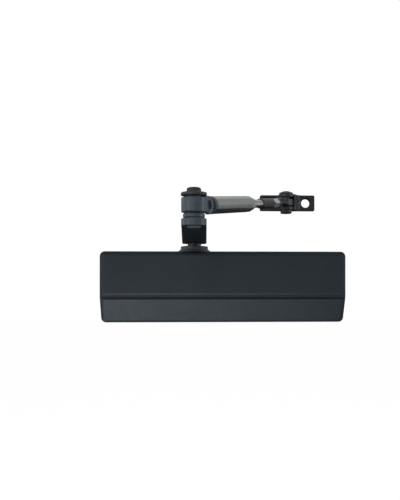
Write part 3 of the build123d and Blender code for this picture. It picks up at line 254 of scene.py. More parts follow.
class Finish:
    """A material in the making: its shader, and the textures that drive it."""

    def __init__(self, name, metallic=0.0, specular=0.5):
        self.material = bpy.data.materials.new(name)
        self.material.use_nodes = True
        self.nodes = self.material.node_tree.nodes
        self.links = self.material.node_tree.links
        self.shader = self.nodes["Principled BSDF"]
        self.shader.inputs["Metallic"].default_value = metallic
        self.shader.inputs["Specular IOR Level"].default_value = specular
        self.place = self.nodes.new("ShaderNodeTexCoord").outputs["Object"]

    def stretched(self, scale, turn=(0, 0, 0)):
        """Object coordinates turned and then scaled, for a brushed or drawn grain."""
        mapping = self.nodes.new("ShaderNodeMapping")
        mapping.vector_type = "TEXTURE"
        mapping.inputs["Rotation"].default_value = turn
        mapping.inputs["Scale"].default_value = [1 / s for s in scale]
        self.links.new(self.place, mapping.inputs["Vector"])
        return mapping.outputs[0]

    def noise(self, scale, detail=3.0, roughness=0.5, place=None):
        texture = self.nodes.new("ShaderNodeTexNoise")
        texture.inputs["Scale"].default_value = scale
        texture.inputs["Detail"].default_value = detail
        texture.inputs["Roughness"].default_value = roughness
        self.links.new(place or self.place, texture.inputs["Vector"])
        return texture.outputs["Fac"]

    def cells(self, scale, place=None):
        texture = self.nodes.new("ShaderNodeTexVoronoi")
        texture.inputs["Scale"].default_value = scale
        self.links.new(place or self.place, texture.inputs["Vector"])
        return texture.outputs["Distance"]

    def spread(self, value, low, high, start=0.3, end=0.7):
        """Maps a texture's usual range onto the range that is wanted."""
        node = self.nodes.new("ShaderNodeMapRange")
        node.inputs["From Min"].default_value = start
        node.inputs["From Max"].default_value = end
        node.inputs["To Min"].default_value = low
        node.inputs["To Max"].default_value = high
        self.links.new(value, node.inputs["Value"])
        return node.outputs[0]

    def times(self, first, second):
        node = self.nodes.new("ShaderNodeMath")
        node.operation = "MULTIPLY"
        self.links.new(first, node.inputs[0])
        self.links.new(second, node.inputs[1])
        return node.outputs[0]

    def plus(self, first, second):
        node = self.nodes.new("ShaderNodeMath")
        node.operation = "ADD"
        self.links.new(first, node.inputs[0])
        self.links.new(second, node.inputs[1])
        return node.outputs[0]

    def blend(self, factor, first, second):
        """A colour between two, each a tuple or another colour output."""
        node = self.nodes.new("ShaderNodeMix")
        node.data_type = "RGBA"
        self.links.new(factor, node.inputs[0])
        for socket, colour in ((node.inputs[6], first), (node.inputs[7], second)):
            if isinstance(colour, tuple):
                socket.default_value = (*colour, 1)
            else:
                self.links.new(colour, socket)
        return node.outputs[2]

    def edges(self, radius):
        """About 1 on edges sharper than the radius, and 0 on open faces."""
        rounded = self.nodes.new("ShaderNodeBevel")
        rounded.samples = EDGE_SAMPLES
        rounded.inputs["Radius"].default_value = radius
        flat = self.nodes.new("ShaderNodeNewGeometry")
        dot = self.nodes.new("ShaderNodeVectorMath")
        dot.operation = "DOT_PRODUCT"
        self.links.new(rounded.outputs[0], dot.inputs[0])
        self.links.new(flat.outputs["Normal"], dot.inputs[1])
        return self.spread(dot.outputs["Value"], 0.0, 1.0, start=EDGE_STARTS, end=EDGE_FULL)

    def colour(self, output):
        self.links.new(output, self.shader.inputs["Base Color"])

    def roughness(self, output):
        self.links.new(output, self.shader.inputs["Roughness"])

    def bump(self, height, distance, strength=1.0, under=None):
        node = self.nodes.new("ShaderNodeBump")
        node.inputs["Strength"].default_value = strength
        node.inputs["Distance"].default_value = distance
        self.links.new(height, node.inputs["Height"])
        if under is not None:
            self.links.new(under, node.inputs["Normal"])
        self.links.new(node.outputs[0], self.shader.inputs["Normal"])
        return node.outputs[0]


SHELL_DARK = (0.0215, 0.0300, 0.0375)
SHELL_LIGHT = (0.0250, 0.0345, 0.0425)
SHELL_WORN = (0.070, 0.085, 0.100)
SHELL_EDGE = 0.0009
SHELL_ROUGH = (0.44, 0.56)


def moulded_shell():
    """Dark graphite moulding with a fine satin grain."""
    paint = Finish("cover_shell", specular=0.2)
    cloud = paint.noise(28, detail=4)
    tone = paint.blend(paint.spread(cloud, 0.0, 1.0), SHELL_DARK, SHELL_LIGHT)
    worn = paint.times(paint.edges(SHELL_EDGE), paint.spread(paint.noise(420), 0.0, 0.45))
    paint.colour(paint.blend(worn, tone, SHELL_WORN))
    paint.roughness(paint.spread(paint.noise(160, detail=5), *SHELL_ROUGH))
    coarse = paint.bump(paint.noise(1100, detail=2), 0.000018, strength=0.6)
    paint.bump(paint.noise(3200, detail=2), 0.000008, strength=0.6, under=coarse)
    return paint.material


BARE = "bare"
# how steeply a face must look down for the painted shade to start and to be full
PAINTED_SHADE_START = -0.6
PAINTED_SHADE_FULL = -0.95
PAINT_EDGE = 0.0007
CAST_EDGE = 0.0006
CAST_WORN = (0.72, 0.72, 0.71)


def painted_forging(name, dark, light, edge_colour, rough=(0.42, 0.58), bare=None, below=None):
    """Paint over a forged or cast surface: waves, pits and rubbed edges.  It may be worn bare in
    patches, as the mesh says, and be painted darker on faces that look down, as painted shade."""
    paint = Finish(name, specular=0.5)
    mottle = paint.noise(230, detail=5, roughness=0.6)
    tone = paint.blend(paint.spread(mottle, 0.0, 1.0), dark, light)
    rubbed = paint.times(paint.edges(PAINT_EDGE), paint.spread(paint.noise(650, detail=4), 0.1, 0.9))
    coat = paint.blend(rubbed, tone, edge_colour)
    roughness = paint.spread(mottle, rough[1], rough[0])
    # painted shade: faces that look down are blended towards the darker colour, standing in for the shade
    # under the part
    if below is not None:
        facing = paint.nodes.new("ShaderNodeSeparateXYZ")
        geometry = paint.nodes.new("ShaderNodeNewGeometry")
        paint.links.new(geometry.outputs["Normal"], facing.inputs[0])
        painted_shade_share = paint.spread(facing.outputs["Z"], 0.0, 1.0, start=PAINTED_SHADE_START, end=PAINTED_SHADE_FULL)
        coat = paint.blend(painted_shade_share, coat, below)
    if bare is not None:
        struck = paint.nodes.new("ShaderNodeAttribute")
        struck.attribute_name = BARE
        coat = paint.blend(struck.outputs["Fac"], coat, bare)
        paint.links.new(struck.outputs["Fac"], paint.shader.inputs["Metallic"])
    paint.colour(coat)
    paint.roughness(roughness)
    waves = paint.bump(paint.noise(170, detail=3), 0.00022, strength=0.55)
    grain = paint.bump(paint.noise(900, detail=4, roughness=0.65), 0.00006, strength=0.7, under=waves)
    pits = paint.spread(paint.cells(520), 0.0, 1.0, start=0.0, end=0.25)
    paint.bump(pits, 0.00003, strength=0.5, under=grain)
    return paint.material


def drawn_metal(name, colour, dull, rough, turn=(0, 0, 0), stretch=(60, 1400, 1400)):
    """Bare or plated metal with a fine drawn or turned grain."""
    metal = Finish(name, metallic=1.0)
    streaks = metal.noise(1.0, detail=4, place=metal.stretched(stretch, turn))
    bloom = metal.noise(120, detail=4)
    tone = metal.blend(metal.spread(streaks, 0.0, 1.0), colour, dull)
    metal.colour(metal.blend(metal.spread(bloom, 0.0, 0.35), tone, dull))
    metal.roughness(metal.plus(metal.spread(streaks, *rough), metal.spread(bloom, 0.0, 0.06)))
    metal.bump(streaks, 0.000006, strength=0.5)
    return metal.material


def cast_metal(name, colour, dull):
    """Sand-cast alloy: open grain and a dull bloom."""
    metal = Finish(name, metallic=0.85)
    bloom = metal.noise(90, detail=5)
    tone = metal.blend(metal.spread(bloom, 0.0, 1.0), colour, dull)
    worn = metal.times(metal.edges(CAST_EDGE), metal.spread(metal.noise(500), 0.2, 0.8))
    metal.colour(metal.blend(worn, tone, CAST_WORN))
    metal.roughness(metal.spread(bloom, 0.42, 0.62))
    coarse = metal.bump(metal.noise(700, detail=4, roughness=0.7), 0.00009, strength=0.6)
    metal.bump(metal.cells(1300), 0.00002, strength=0.4, under=coarse)
    return metal.material


def rubber(name, dark, light):
    """Moulded rubber or plastic seal."""
    seal = Finish(name, specular=0.4)
    cloud = seal.noise(300, detail=4)
    seal.colour(seal.blend(seal.spread(cloud, 0.0, 1.0), dark, light))
    seal.roughness(seal.spread(cloud, 0.5, 0.7))
    seal.bump(seal.noise(2500), 0.00001, strength=0.5)
    return seal.material


forearm_axis = axis_of("forearm_length")
FOREARM_TURN = (0, -math.asin(forearm_axis[2]), math.atan2(forearm_axis[1], forearm_axis[0]))

ARM_DARK = (0.080, 0.110, 0.143)
ARM_LIGHT = (0.119, 0.155, 0.192)
ARM_EDGES = (0.30, 0.33, 0.36)
ARM_ROUGH = (0.30, 0.42)
# painted shade: the darker colour of the arm's downward faces
ARM_PAINTED_SHADE = (0.034, 0.048, 0.062)

# name: dark tone, light tone, tone of rubbed edges and other choices
PAINTS = {
    "collar_black": ((0.068, 0.086, 0.105), (0.102, 0.122, 0.142), (0.28, 0.29, 0.30), {}),
    "arm_coat": (ARM_DARK, ARM_LIGHT, ARM_EDGES, {"rough": ARM_ROUGH}),
    # the arm's paint with painted shade on the faces that look down
    "arm_forging": (ARM_DARK, ARM_LIGHT, ARM_EDGES, {"rough": ARM_ROUGH, "below": ARM_PAINTED_SHADE}),
    "washer_black": ((0.056, 0.060, 0.063), (0.088, 0.093, 0.096), (0.26, 0.265, 0.27), {}),
    # painted highlight: the rivet head is a lighter grey than the arm's paint, standing in for the light
    # its rim catches
    "rivet_grey": ((0.25, 0.29, 0.33), (0.31, 0.35, 0.39), (0.45, 0.48, 0.50), {}),
    # painted shade: near-black standing in for the shade in the gap round the elbow bushing and in the
    # cross pin's hole
    "pin_black": ((0.010, 0.012, 0.016), (0.018, 0.021, 0.026), (0.05, 0.055, 0.06), {}),
    "dark_screws": ((0.038, 0.042, 0.045), (0.066, 0.071, 0.075), (0.34, 0.34, 0.34), {}),
    "shoe_coat": (
        (0.029, 0.036, 0.042),
        (0.053, 0.061, 0.068),
        (0.24, 0.255, 0.26),
        {"rough": (0.30, 0.48)},
    ),
    "rod_end": (
        (0.026, 0.034, 0.040),
        (0.050, 0.060, 0.066),
        (0.22, 0.235, 0.24),
        {"rough": (0.28, 0.42), "bare": (0.95, 0.98, 1.0)},
    ),
}
ALONG_ROD = {"turn": FOREARM_TURN}
TURNED = {"stretch": (1200, 1200, 60)}
EVEN = {"stretch": (500, 500, 500)}
BUSHED = {"stretch": (1000, 1000, 60)}

# name: colour, dull colour, roughness and the direction of the grain
METALS = {
    "tube_zinc": ((0.47, 0.49, 0.495), (0.43, 0.45, 0.455), (0.24, 0.30), ALONG_ROD),
    "bright_zinc": ((0.85, 0.85, 0.84), (0.66, 0.66, 0.65), (0.20, 0.30), ALONG_ROD),
    "machined_steel": ((0.60, 0.59, 0.57), (0.42, 0.41, 0.40), (0.18, 0.34), TURNED),
    "blued_steel": ((0.12, 0.126, 0.145), (0.075, 0.078, 0.09), (0.30, 0.42), EVEN),
    "bushing_bronze": ((0.55, 0.36, 0.17), (0.36, 0.22, 0.10), (0.24, 0.40), BUSHED),
}
FINISHES = {
    "cover_shell": moulded_shell(),
    "cast_alloy": cast_metal("cast_alloy", (0.50, 0.50, 0.49), (0.36, 0.36, 0.35)),
    "seal_rubber": rubber("seal_rubber", (0.010, 0.010, 0.011), (0.020, 0.020, 0.021)),
    "seal_ptfe": rubber("seal_ptfe", (0.62, 0.60, 0.55), (0.72, 0.71, 0.67)),
}
for name, (dark, light, edge_colour, choices) in PAINTS.items():
    FINISHES[name] = painted_forging(name, dark, light, edge_colour, **choices)
for name, (colour, dull, rough, grain) in METALS.items():
    FINISHES[name] = drawn_metal(name, colour, dull, rough, **grain)

# nodes with a finish of their own; the rest take the one of their slot
NODE_FINISHES = {
    "elbow_washer": "washer_black",
    # painted shade: the bronze bushing and the cross pin in its hole take a near-black finish
    "elbow_bushing": "pin_black",
    "cross_pin": "pin_black",
}


def finish_cad_nodes():
    """Gives every CAD node that stays on show its detailed material."""
    for name, node in frame["nodes"].items():
        for slot in node.material_slots:
            own = slot.material.name.split(".")[0]
            slot.material = FINISHES[NODE_FINISHES.get(name, own)]


# ------------------------------------------------------------------ distance shapes
# A shape is a function of points, in millimetres, that is negative inside and positive outside.
class Place:
    """A local frame: an origin with an X and a Z direction."""

    def __init__(self, origin, x_axis, z_axis):
        self.origin = np.asarray(origin, float)
        x = np.asarray(x_axis, float) / np.linalg.norm(x_axis)
        z = np.asarray(z_axis, float) / np.linalg.norm(z_axis)
        self.axes = np.stack([x, np.cross(z, x), z], axis=1)

    def inside(self, points):
        return (points - self.origin) @ self.axes

    def outside(self, points):
        return self.origin + points @ self.axes.T


def rounded_extrusion(plan, level, half, edge):
    """A flat shape with a thickness: plan is its distance in plan, level the height from its middle."""
    across = plan + edge
    along = np.abs(level) - half + edge
    outside = np.hypot(np.maximum(across, 0), np.maximum(along, 0))
    return np.minimum(np.maximum(across, along), 0) + outside - edge


def rectangle(across, along, half_across, half_along, corner):
    """Distance to a rectangle with rounded corners."""
    return rounded_extrusion(np.abs(across) - half_across, along, half_along, corner)


def box_shape(p, centre, half, edge):
    q = p - np.asarray(centre, float)
    return rounded_extrusion(rectangle(q[:, 0], q[:, 1], half[0], half[1], edge), q[:, 2], half[2], edge)


def cylinder_shape(p, axis, centre, radius, half, edge):
    """A cylinder along one of a place's own axes."""
    q = p - np.asarray(centre, float)
    first, second = [i for i in range(3) if i != axis]
    return rounded_extrusion(np.hypot(q[:, first], q[:, second]) - radius, q[:, axis], half, edge)


def polygon(across, along, corners):
    """Distance to a polygon with its corners in order."""
    distance = np.full(across.shape, 1e9)
    sign = np.ones(across.shape)
    for (ax, ay), (bx, by) in zip(corners, corners[-1:] + corners[:-1]):
        ex, ey = bx - ax, by - ay
        wx, wy = across - ax, along - ay
        t = np.clip((wx * ex + wy * ey) / (ex * ex + ey * ey), 0, 1)
        distance = np.minimum(distance, np.hypot(wx - t * ex, wy - t * ey))
        above, below, turn = along >= ay, along < by, ex * wy > ey * wx
        flips = (above & below & turn) | (~above & ~below & ~turn)
        sign = np.where(flips, -sign, sign)
    return sign * distance


def joined(first, second, fillet):
    """Two shapes as one, with a fillet between them."""
    overlap = np.maximum(fillet - np.abs(first - second), 0) / fillet
    return np.minimum(first, second) - overlap * overlap * fillet / 4


def without(first, second, edge):
    """The first shape less the second, with a softened edge."""
    return -joined(-first, second, edge)


GRID_MARGIN = 3  # cells round the box of the node that a shape stands for
SETTLING_ROUNDS = 2
SLOPE_REACH = 0.05
LEAST_SLOPE = 0.25


def surface_of(shape, low, high, step):
    """Meshes the surface where a shape's distance is zero: one vertex a cell, one quad a crossed edge."""
    counts = np.ceil((high - low) / step).astype(int) + 1
    grids = np.meshgrid(*[low[i] + step * np.arange(counts[i]) for i in range(3)], indexing="ij")
    field = shape(np.stack(grids, axis=-1).reshape(-1, 3)).reshape(counts)
    inside = field < 0
    corners = list(itertools.product((0, 1), repeat=3))
    filled = sum(
        inside[x : counts[0] - 1 + x, y : counts[1] - 1 + y, z : counts[2] - 1 + z].astype(int)
        for x, y, z in corners
    )
    crossed = (filled > 0) & (filled < len(corners))
    numbers = np.full(crossed.shape, -1)
    numbers[crossed] = np.arange(crossed.sum())
    cells = np.argwhere(crossed)
    total = np.zeros((len(cells), 3))
    hits = np.zeros(len(cells))
    for corner in corners:
        for axis in range(3):
            if corner[axis]:
                continue
            start = cells + corner
            end = start.copy()
            end[:, axis] += 1
            first, second = field[tuple(start.T)], field[tuple(end.T)]
            cross = (first < 0) != (second < 0)
            share = first[cross] / (first[cross] - second[cross])
            point = start[cross].astype(float)
            point[:, axis] += share
            total[cross] += point
            hits[cross] += 1
    points = low + step * total / hits[:, None]
    points = settled(shape, points, step)
    quads = []
    for axis in range(3):
        u, v = (axis + 1) % 3, (axis + 2) % 3
        near = [slice(None)] * 3
        far = [slice(None)] * 3
        near[axis], far[axis] = slice(0, -1), slice(1, None)
        starts = np.argwhere(inside[tuple(near)] != inside[tuple(far)])
        rim = (starts[:, u] > 0) & (starts[:, v] > 0)
        rim &= (starts[:, u] < counts[u] - 1) & (starts[:, v] < counts[v] - 1)
        starts = starts[rim]
        step_u, step_v = np.eye(3, dtype=int)[u], np.eye(3, dtype=int)[v]
        ring = [starts - step_u - step_v, starts - step_v, starts, starts - step_u]
        faces = np.stack([numbers[tuple(cell.T)] for cell in ring], axis=1)
        outward = inside[tuple(starts.T)]
        faces[~outward] = faces[~outward][:, ::-1]
        quads.append(faces)
    return points, np.concatenate(quads)


def settled(shape, points, step):
    """Moves points onto the surface along its slope."""
    reach = step * SLOPE_REACH
    for _ in range(SETTLING_ROUNDS):
        value = shape(points)
        slope = np.stack(
            [
                (shape(points + reach * unit) - shape(points - reach * unit)) / (2 * reach)
                for unit in np.eye(3)
            ],
            axis=1,
        )
        size = np.maximum((slope * slope).sum(axis=1), LEAST_SLOPE)
        move = slope * (value / size)[:, None]
        points = points - np.clip(move, -step / 2, step / 2)
    return points


# ------------------------------------------------------------------ making pieces
def add_piece(name, points, faces, slot, body, nodes, finish=None):
    """Makes a mesh piece from points in millimetres, which stands for some CAD nodes."""
    mesh = bpy.data.meshes.new(name)
    mesh.from_pydata((np.asarray(points) * MM).tolist(), [], [list(face) for face in faces])
    mesh.shade_smooth()
    mesh.materials.append(finish or FINISHES[slot])
    piece = bpy.data.objects.new(name, mesh)
    bpy.context.scene.collection.objects.link(piece)
    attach(piece, body)
    if nodes:
        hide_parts(*nodes)
    return piece


def cast_piece(name, shape, step, slot, body, node, finish=None, bare=None):
    """Meshes a distance shape over the box of the CAD node that it replaces."""
    low, high = [np.array(corner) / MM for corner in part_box(node)]
    margin = GRID_MARGIN * step
    points, faces = surface_of(shape, low - margin, high + margin, step)
    piece = add_piece(name, points, faces.tolist(), slot, body, [node], finish)
    if bare is not None:
        piece.data.attributes.new(BARE, "FLOAT", "POINT").data.foreach_set("value", bare(points))
    return piece


def turned_rows(rows, place, closed=True):
    """Joins rings of points, each a list of (radius, angle, height), into one skin."""
    points = [
        (radius * math.cos(angle), radius * math.sin(angle), height)
        for row in rows
        for radius, angle, height in row
    ]
    count = len(rows[0])
    faces = []
    last = len(rows) if closed else len(rows) - 1
    for row in range(last):
        below = row * count
        above = (row + 1) % len(rows) * count
        for i in range(count):
            j = (i + 1) % count
            faces.append((below + i, below + j, above + j, above + i))
    return place.outside(np.array(points)), faces


# ------------------------------------------------------------------ the object's own places
UP = np.array((0.0, 0.0, 1.0))
SPINDLE = place_of("spindle_turn")
ELBOW = place_of("elbow_turn")
CROSS_PIN = place_of("forearm_tilt")
SHOE_PIN = place_of("shoe_swivel")
CROSS = axis_of("forearm_tilt")
LEVEL = np.cross(UP, CROSS)
SHOE_RISE = 0.7  # the shoe's middle above the middle of the rod end's eye
EDGE_BREAK = 0.4
SLOT_BREAK = 0.5
Y, Z = 1, 2  # a place's own axes, by number
at_elbow = Place(ELBOW, LEVEL, UP)
on_forearm = Place(CROSS_PIN, CROSS, forearm_axis)
at_shoe = Place(SHOE_PIN + SHOE_RISE * UP, (1, 0, 0), UP)
at_eye = Place(SHOE_PIN, LEVEL, UP)


# ------------------------------------------------------------------ knuckle
# All sizes below are in millimetres, and all angles in degrees.
BARREL_RADIUS = 10.5
BARREL_HALF = 6.1
BARREL_DROP = 1.25
BARREL_EDGE = 0.8
SPOT_FACE_RADIUS = 11.1
SPOT_FACE_EDGE = 0.2
BUSH_RADIUS = 7.5
BORE_EDGE = 0.6
EAR_REACH = 15.0
EAR_RADIUS = 7.8
EAR_EDGE = 0.9
EAR_FILLET = 2.0
FORK_HALF_WIDTH = 6.6
FORK_SLOT_START = 9.0
FORK_SLOT_HALF = 3.1
FORK_SLOT_CORNER = 0.6
FORK_NECK_INSET = 0.4
FORK_NECK_HALF_HEIGHT = 5.4
FORK_NECK_EDGE = 1.4
FORK_NECK_FILLET = 2.5
CROSS_PIN_HOLE = 3.72
CROSS_PIN_LIP = 0.9
SHARP = 0.1  # the corner of a tool that cuts a plain hole


def knuckle_shape(points):
    """A forged barrel with a spot face on top and a forked ear for the cross pin."""
    p = at_elbow.inside(points)
    barrel_top = BARREL_HALF - BARREL_DROP
    barrel = cylinder_shape(p, Z, (0, 0, -BARREL_DROP), BARREL_RADIUS, BARREL_HALF, BARREL_EDGE)
    neck_half = (EAR_REACH / 2, FORK_HALF_WIDTH - FORK_NECK_INSET, FORK_NECK_HALF_HEIGHT)
    neck = box_shape(p, (EAR_REACH / 2, 0, 0), neck_half, FORK_NECK_EDGE)
    ear = cylinder_shape(p, Y, (EAR_REACH, 0, 0), EAR_RADIUS, FORK_HALF_WIDTH, EAR_EDGE)
    body = joined(joined(barrel, neck, FORK_NECK_FILLET), ear, EAR_FILLET)
    above = (0, 0, barrel_top + EAR_RADIUS)
    spot_face = cylinder_shape(p, Z, above, SPOT_FACE_RADIUS, EAR_RADIUS, SPOT_FACE_EDGE)
    body = without(body, spot_face, EDGE_BREAK)
    slot_end = EAR_REACH + 2 * EAR_RADIUS
    slot_half = (slot_end - FORK_SLOT_START) / 2
    slot_sides = (slot_half, FORK_SLOT_HALF, 2 * EAR_RADIUS)
    slot = box_shape(p, (FORK_SLOT_START + slot_half, 0, 0), slot_sides, FORK_SLOT_CORNER)
    body = without(body, slot, SLOT_BREAK)
    hole = cylinder_shape(p, Y, (EAR_REACH, 0, 0), CROSS_PIN_HOLE, 2 * FORK_HALF_WIDTH, SHARP)
    body = without(body, hole, CROSS_PIN_LIP)
    bore = cylinder_shape(p, Z, (0, 0, 0), BUSH_RADIUS, 2 * BARREL_HALF, SHARP)
    return without(body, bore, BORE_EDGE)


# ------------------------------------------------------------------ main arm
ARM_LOW = 51.7
ARM_HIGH = 58.2
ARM_BOSS_LOW = 47.9
ARM_BOSS_RADIUS = 13.5
ARM_TIP_RADIUS = 10.5
ARM_SLOPE_END = 150.0
ARM_DRIVE_HALF = 5.05
ARM_DRIVE_CORNER = 0.3
ARM_RIVET_RADIUS = 5.02
ARM_EDGE = 0.9


def arm_shape(points):
    """A flat forging between two round ends, which thickens towards the spindle."""
    across = np.abs(points[:, 0] - SPINDLE[0])
    along = SPINDLE[1] - points[:, 1]
    length = SPINDLE[1] - ELBOW[1]
    lean = (ARM_BOSS_RADIUS - ARM_TIP_RADIUS) / length
    upright = math.sqrt(1 - lean * lean)
    side = along * upright - across * lean
    boss_end = np.hypot(across, along) - ARM_BOSS_RADIUS
    tip_end = np.hypot(across, along - length) - ARM_TIP_RADIUS
    flank = across * upright + along * lean - ARM_BOSS_RADIUS
    plan = np.where(side < 0, boss_end, np.where(side > upright * length, tip_end, flank))
    share = np.clip((along - ARM_BOSS_RADIUS) / (ARM_SLOPE_END - ARM_BOSS_RADIUS), 0, 1)
    low = ARM_BOSS_LOW + (ARM_LOW - ARM_BOSS_LOW) * share
    height = points[:, 2] - (low + ARM_HIGH) / 2
    arm = rounded_extrusion(plan, height, (ARM_HIGH - low) / 2, ARM_EDGE)
    drive = rectangle(across, along, ARM_DRIVE_HALF, ARM_DRIVE_HALF, ARM_DRIVE_CORNER)
    arm = without(arm, drive, EDGE_BREAK)
    rivet = np.hypot(across, along - length) - ARM_RIVET_RADIUS
    return without(arm, rivet, EDGE_BREAK)


# radius and height of the rivet's head, from its crown to its seat inside the arm
RIVET_PROFILE = (
    (0.01, 49.55),
    (2.0, 49.6),
    (3.6, 49.85),
    (4.9, 50.3),
    (5.7, 50.9),
    (6.05, 51.5),
    (6.05, 52.0),
    (0.01, 52.0),
)
RIVET_STEPS = 64


def make_rivet_head():
    """The domed head of the elbow pin's rivet, under the arm's tip, in a lighter grey that is a painted
    highlight.
    """
    angles = [2 * math.pi * i / RIVET_STEPS for i in range(RIVET_STEPS)]
    rows = [
        [(radius, angle, level - ELBOW[2]) for angle in angles] for radius, level in RIVET_PROFILE
    ]
    points, faces = turned_rows(rows, at_elbow, closed=False)
    add_piece("rivet_head", points, faces, "arm_coat", "spindle", [], FINISHES["rivet_grey"])


# ------------------------------------------------------------------ rod end
ROD_END_START = 117.5
SHANK_RADIUS = 5.15
SHANK_BORE = 4.25
SHANK_BORE_DEPTH = 14.0
SHANK_BORE_LIP = 0.3
SHANK_END = 170.0
SHANK_EDGE = 0.5
SHANK_FILLET = 2.4
FACET_START = 142.5
FACET_DEPTH = 0.75
FACET_RISE_SHARE = 0.25
FACET_EDGE = 0.25
FACET_ANGLES = (32, -32, 148, -148)
FACET_BARE = (0.3, 1.0, 1.0, 0.3)
BARE_DEPTH = 0.16
BARE_END = 162.5
BARE_FADE_IN = 2.0
BARE_FADE_OUT = 4.0
BARE_MEAN = 0.88
BARE_SWING = 0.12
BARE_WAVE = (1.9, 2.0, 1.7)
EYE_RADIUS = 7.9
EYE_HALF = 3.5
EYE_EDGE = 0.7
EYE_BORE = 5.2
NECK_LENGTH = 19.0
NECK_HALF_WIDTH = 5.7
NECK_EDGE = 1.2
NECK_FILLET = 2.0


def facet_depths(p):
    """How far the surface of the shank is from each of the flats struck on it."""
    ramp = np.clip((p[:, 2] - FACET_START) / (SHANK_END - FACET_START), 0, 1)
    rise = (1 - np.minimum(ramp / FACET_RISE_SHARE, 1)) * 2 * FACET_DEPTH
    for angle in FACET_ANGLES:
        turn = math.radians(angle)
        reach = p[:, 0] * math.cos(turn) + p[:, 1] * math.sin(turn)
        yield SHANK_RADIUS - FACET_DEPTH - reach + rise


def rod_end_bare(points):
    """Bright metal on the struck flats, broken up along them."""
    p = on_forearm.inside(points)
    struck = sum(
        share * np.exp(-((depth / BARE_DEPTH) ** 2))
        for share, depth in zip(FACET_BARE, facet_depths(p))
    )
    fade_in = np.clip((p[:, 2] - FACET_START) / BARE_FADE_IN, 0, 1)
    fade_out = np.clip((BARE_END - p[:, 2]) / BARE_FADE_OUT, 0, 1)
    along, bend, around = BARE_WAVE
    wave = np.sin(p[:, 2] * along + bend * np.sin(p[:, 1] * around))
    return np.clip(struck * fade_in * fade_out * (BARE_MEAN + BARE_SWING * wave), 0, 1)


def rod_end_shape(points):
    """A forged rod end: a round shank, hammered flat towards a level eye."""
    p = on_forearm.inside(points)
    middle = (ROD_END_START + SHANK_END) / 2
    half = (SHANK_END - ROD_END_START) / 2
    shank = cylinder_shape(p, Z, (0, 0, middle), SHANK_RADIUS, half, SHANK_EDGE)
    for facet in facet_depths(p):
        shank = without(shank, facet, FACET_EDGE)
    q = at_eye.inside(points)
    neck_half = (NECK_LENGTH / 2, NECK_HALF_WIDTH, EYE_HALF)
    neck = box_shape(q, (-NECK_LENGTH / 2, 0, 0), neck_half, NECK_EDGE)
    eye = cylinder_shape(q, Z, (0, 0, 0), EYE_RADIUS, EYE_HALF, EYE_EDGE)
    body = joined(joined(eye, neck, NECK_FILLET), shank, SHANK_FILLET)
    bore = cylinder_shape(q, Z, (0, 0, 0), EYE_BORE, 4 * EYE_HALF, SHARP)
    body = without(body, bore, SLOT_BREAK)
    socket = cylinder_shape(p, Z, (0, 0, ROD_END_START), SHANK_BORE, SHANK_BORE_DEPTH, SHARP)
    return without(body, socket, SHANK_BORE_LIP)


# ------------------------------------------------------------------ frame shoe
SHOE_HALF_HEIGHT = 8.9
SHOE_HALF_LENGTH = 30.9
SHOE_OFFSET = 2.8
PLATE_FRONT = 9.0
PLATE_HALF = 2.25
PLATE_CORNER = 1.6
PLATE_EDGE = 0.7
POCKET_HALF_HEIGHT = 6.8
POCKET_DEPTH = 3.3
POCKET_RANGE = (-26.4, -9.4)
POCKET_CORNER = 1.5
POCKET_FLOOR_EDGE = 0.5
HOLE_SPACING = 41.5
HOLE_RADIUS = 4.8
HOLE_EDGE = 0.3
SINK_RADIUS = 6.5
SINK_LIP = -1.0
EAR_THICKNESS = 3.6
SHOE_EAR_RADIUS = 7.6
EAR_ROOT_MIDDLE = (1.3, 5.0)
EAR_ROOT_HALF = (8.9, 5.0)
SHOE_EAR_EDGE = 0.6
EAR_ROOT_FILLET = 1.2
GUSSET = [(9.25, -0.9), (17.0, 10.0), (7.6, 10.0), (7.6, 8.6), (9.25, 7.0)]
GUSSET_EDGE = 0.6
GUSSET_FILLET = 1.4
PIN_HOLE = 4.02


def shoe_shape(points):
    """A cast shoe: a screwed plate with a pocket, two ears and a gusset."""
    p = at_shoe.inside(points)
    x, y, z = p.T
    plate_plan = rectangle(x - SHOE_OFFSET, z, SHOE_HALF_LENGTH, SHOE_HALF_HEIGHT, PLATE_CORNER)
    body = rounded_extrusion(plate_plan, y - PLATE_FRONT - PLATE_HALF, PLATE_HALF, PLATE_EDGE)
    root_x, root_y = x - EAR_ROOT_MIDDLE[0], y - EAR_ROOT_MIDDLE[1]
    ear_root = rectangle(root_x, root_y, *EAR_ROOT_HALF, SHARP)
    ear_plan = joined(np.hypot(x, y) - SHOE_EAR_RADIUS, ear_root, SHARP)
    for side in (-1, 1):
        level = z - side * (SHOE_HALF_HEIGHT - EAR_THICKNESS / 2)
        ear = rounded_extrusion(ear_plan, level, EAR_THICKNESS / 2, SHOE_EAR_EDGE)
        body = joined(body, ear, EAR_ROOT_FILLET)
    gusset = rounded_extrusion(polygon(x, y, GUSSET), z, SHOE_HALF_HEIGHT, GUSSET_EDGE)
    body = joined(body, gusset, GUSSET_FILLET)
    pocket_middle = sum(POCKET_RANGE) / 2
    pocket_half = (POCKET_RANGE[1] - POCKET_RANGE[0]) / 2
    pocket_plan = rectangle(x - pocket_middle, z, pocket_half, POCKET_HALF_HEIGHT, POCKET_CORNER)
    pocket = rounded_extrusion(pocket_plan, y - PLATE_FRONT, POCKET_DEPTH, POCKET_FLOOR_EDGE)
    body = without(body, pocket, EDGE_BREAK)
    for side in (-1, 1):
        radial = np.hypot(x - SHOE_OFFSET - side * HOLE_SPACING / 2, z)
        body = without(body, radial - HOLE_RADIUS, HOLE_EDGE)
        sink = radial - SINK_RADIUS + np.maximum(y - PLATE_FRONT, SINK_LIP)
        body = without(body, sink, HOLE_EDGE)
    return without(body, np.hypot(x, y) - PIN_HOLE, HOLE_EDGE)


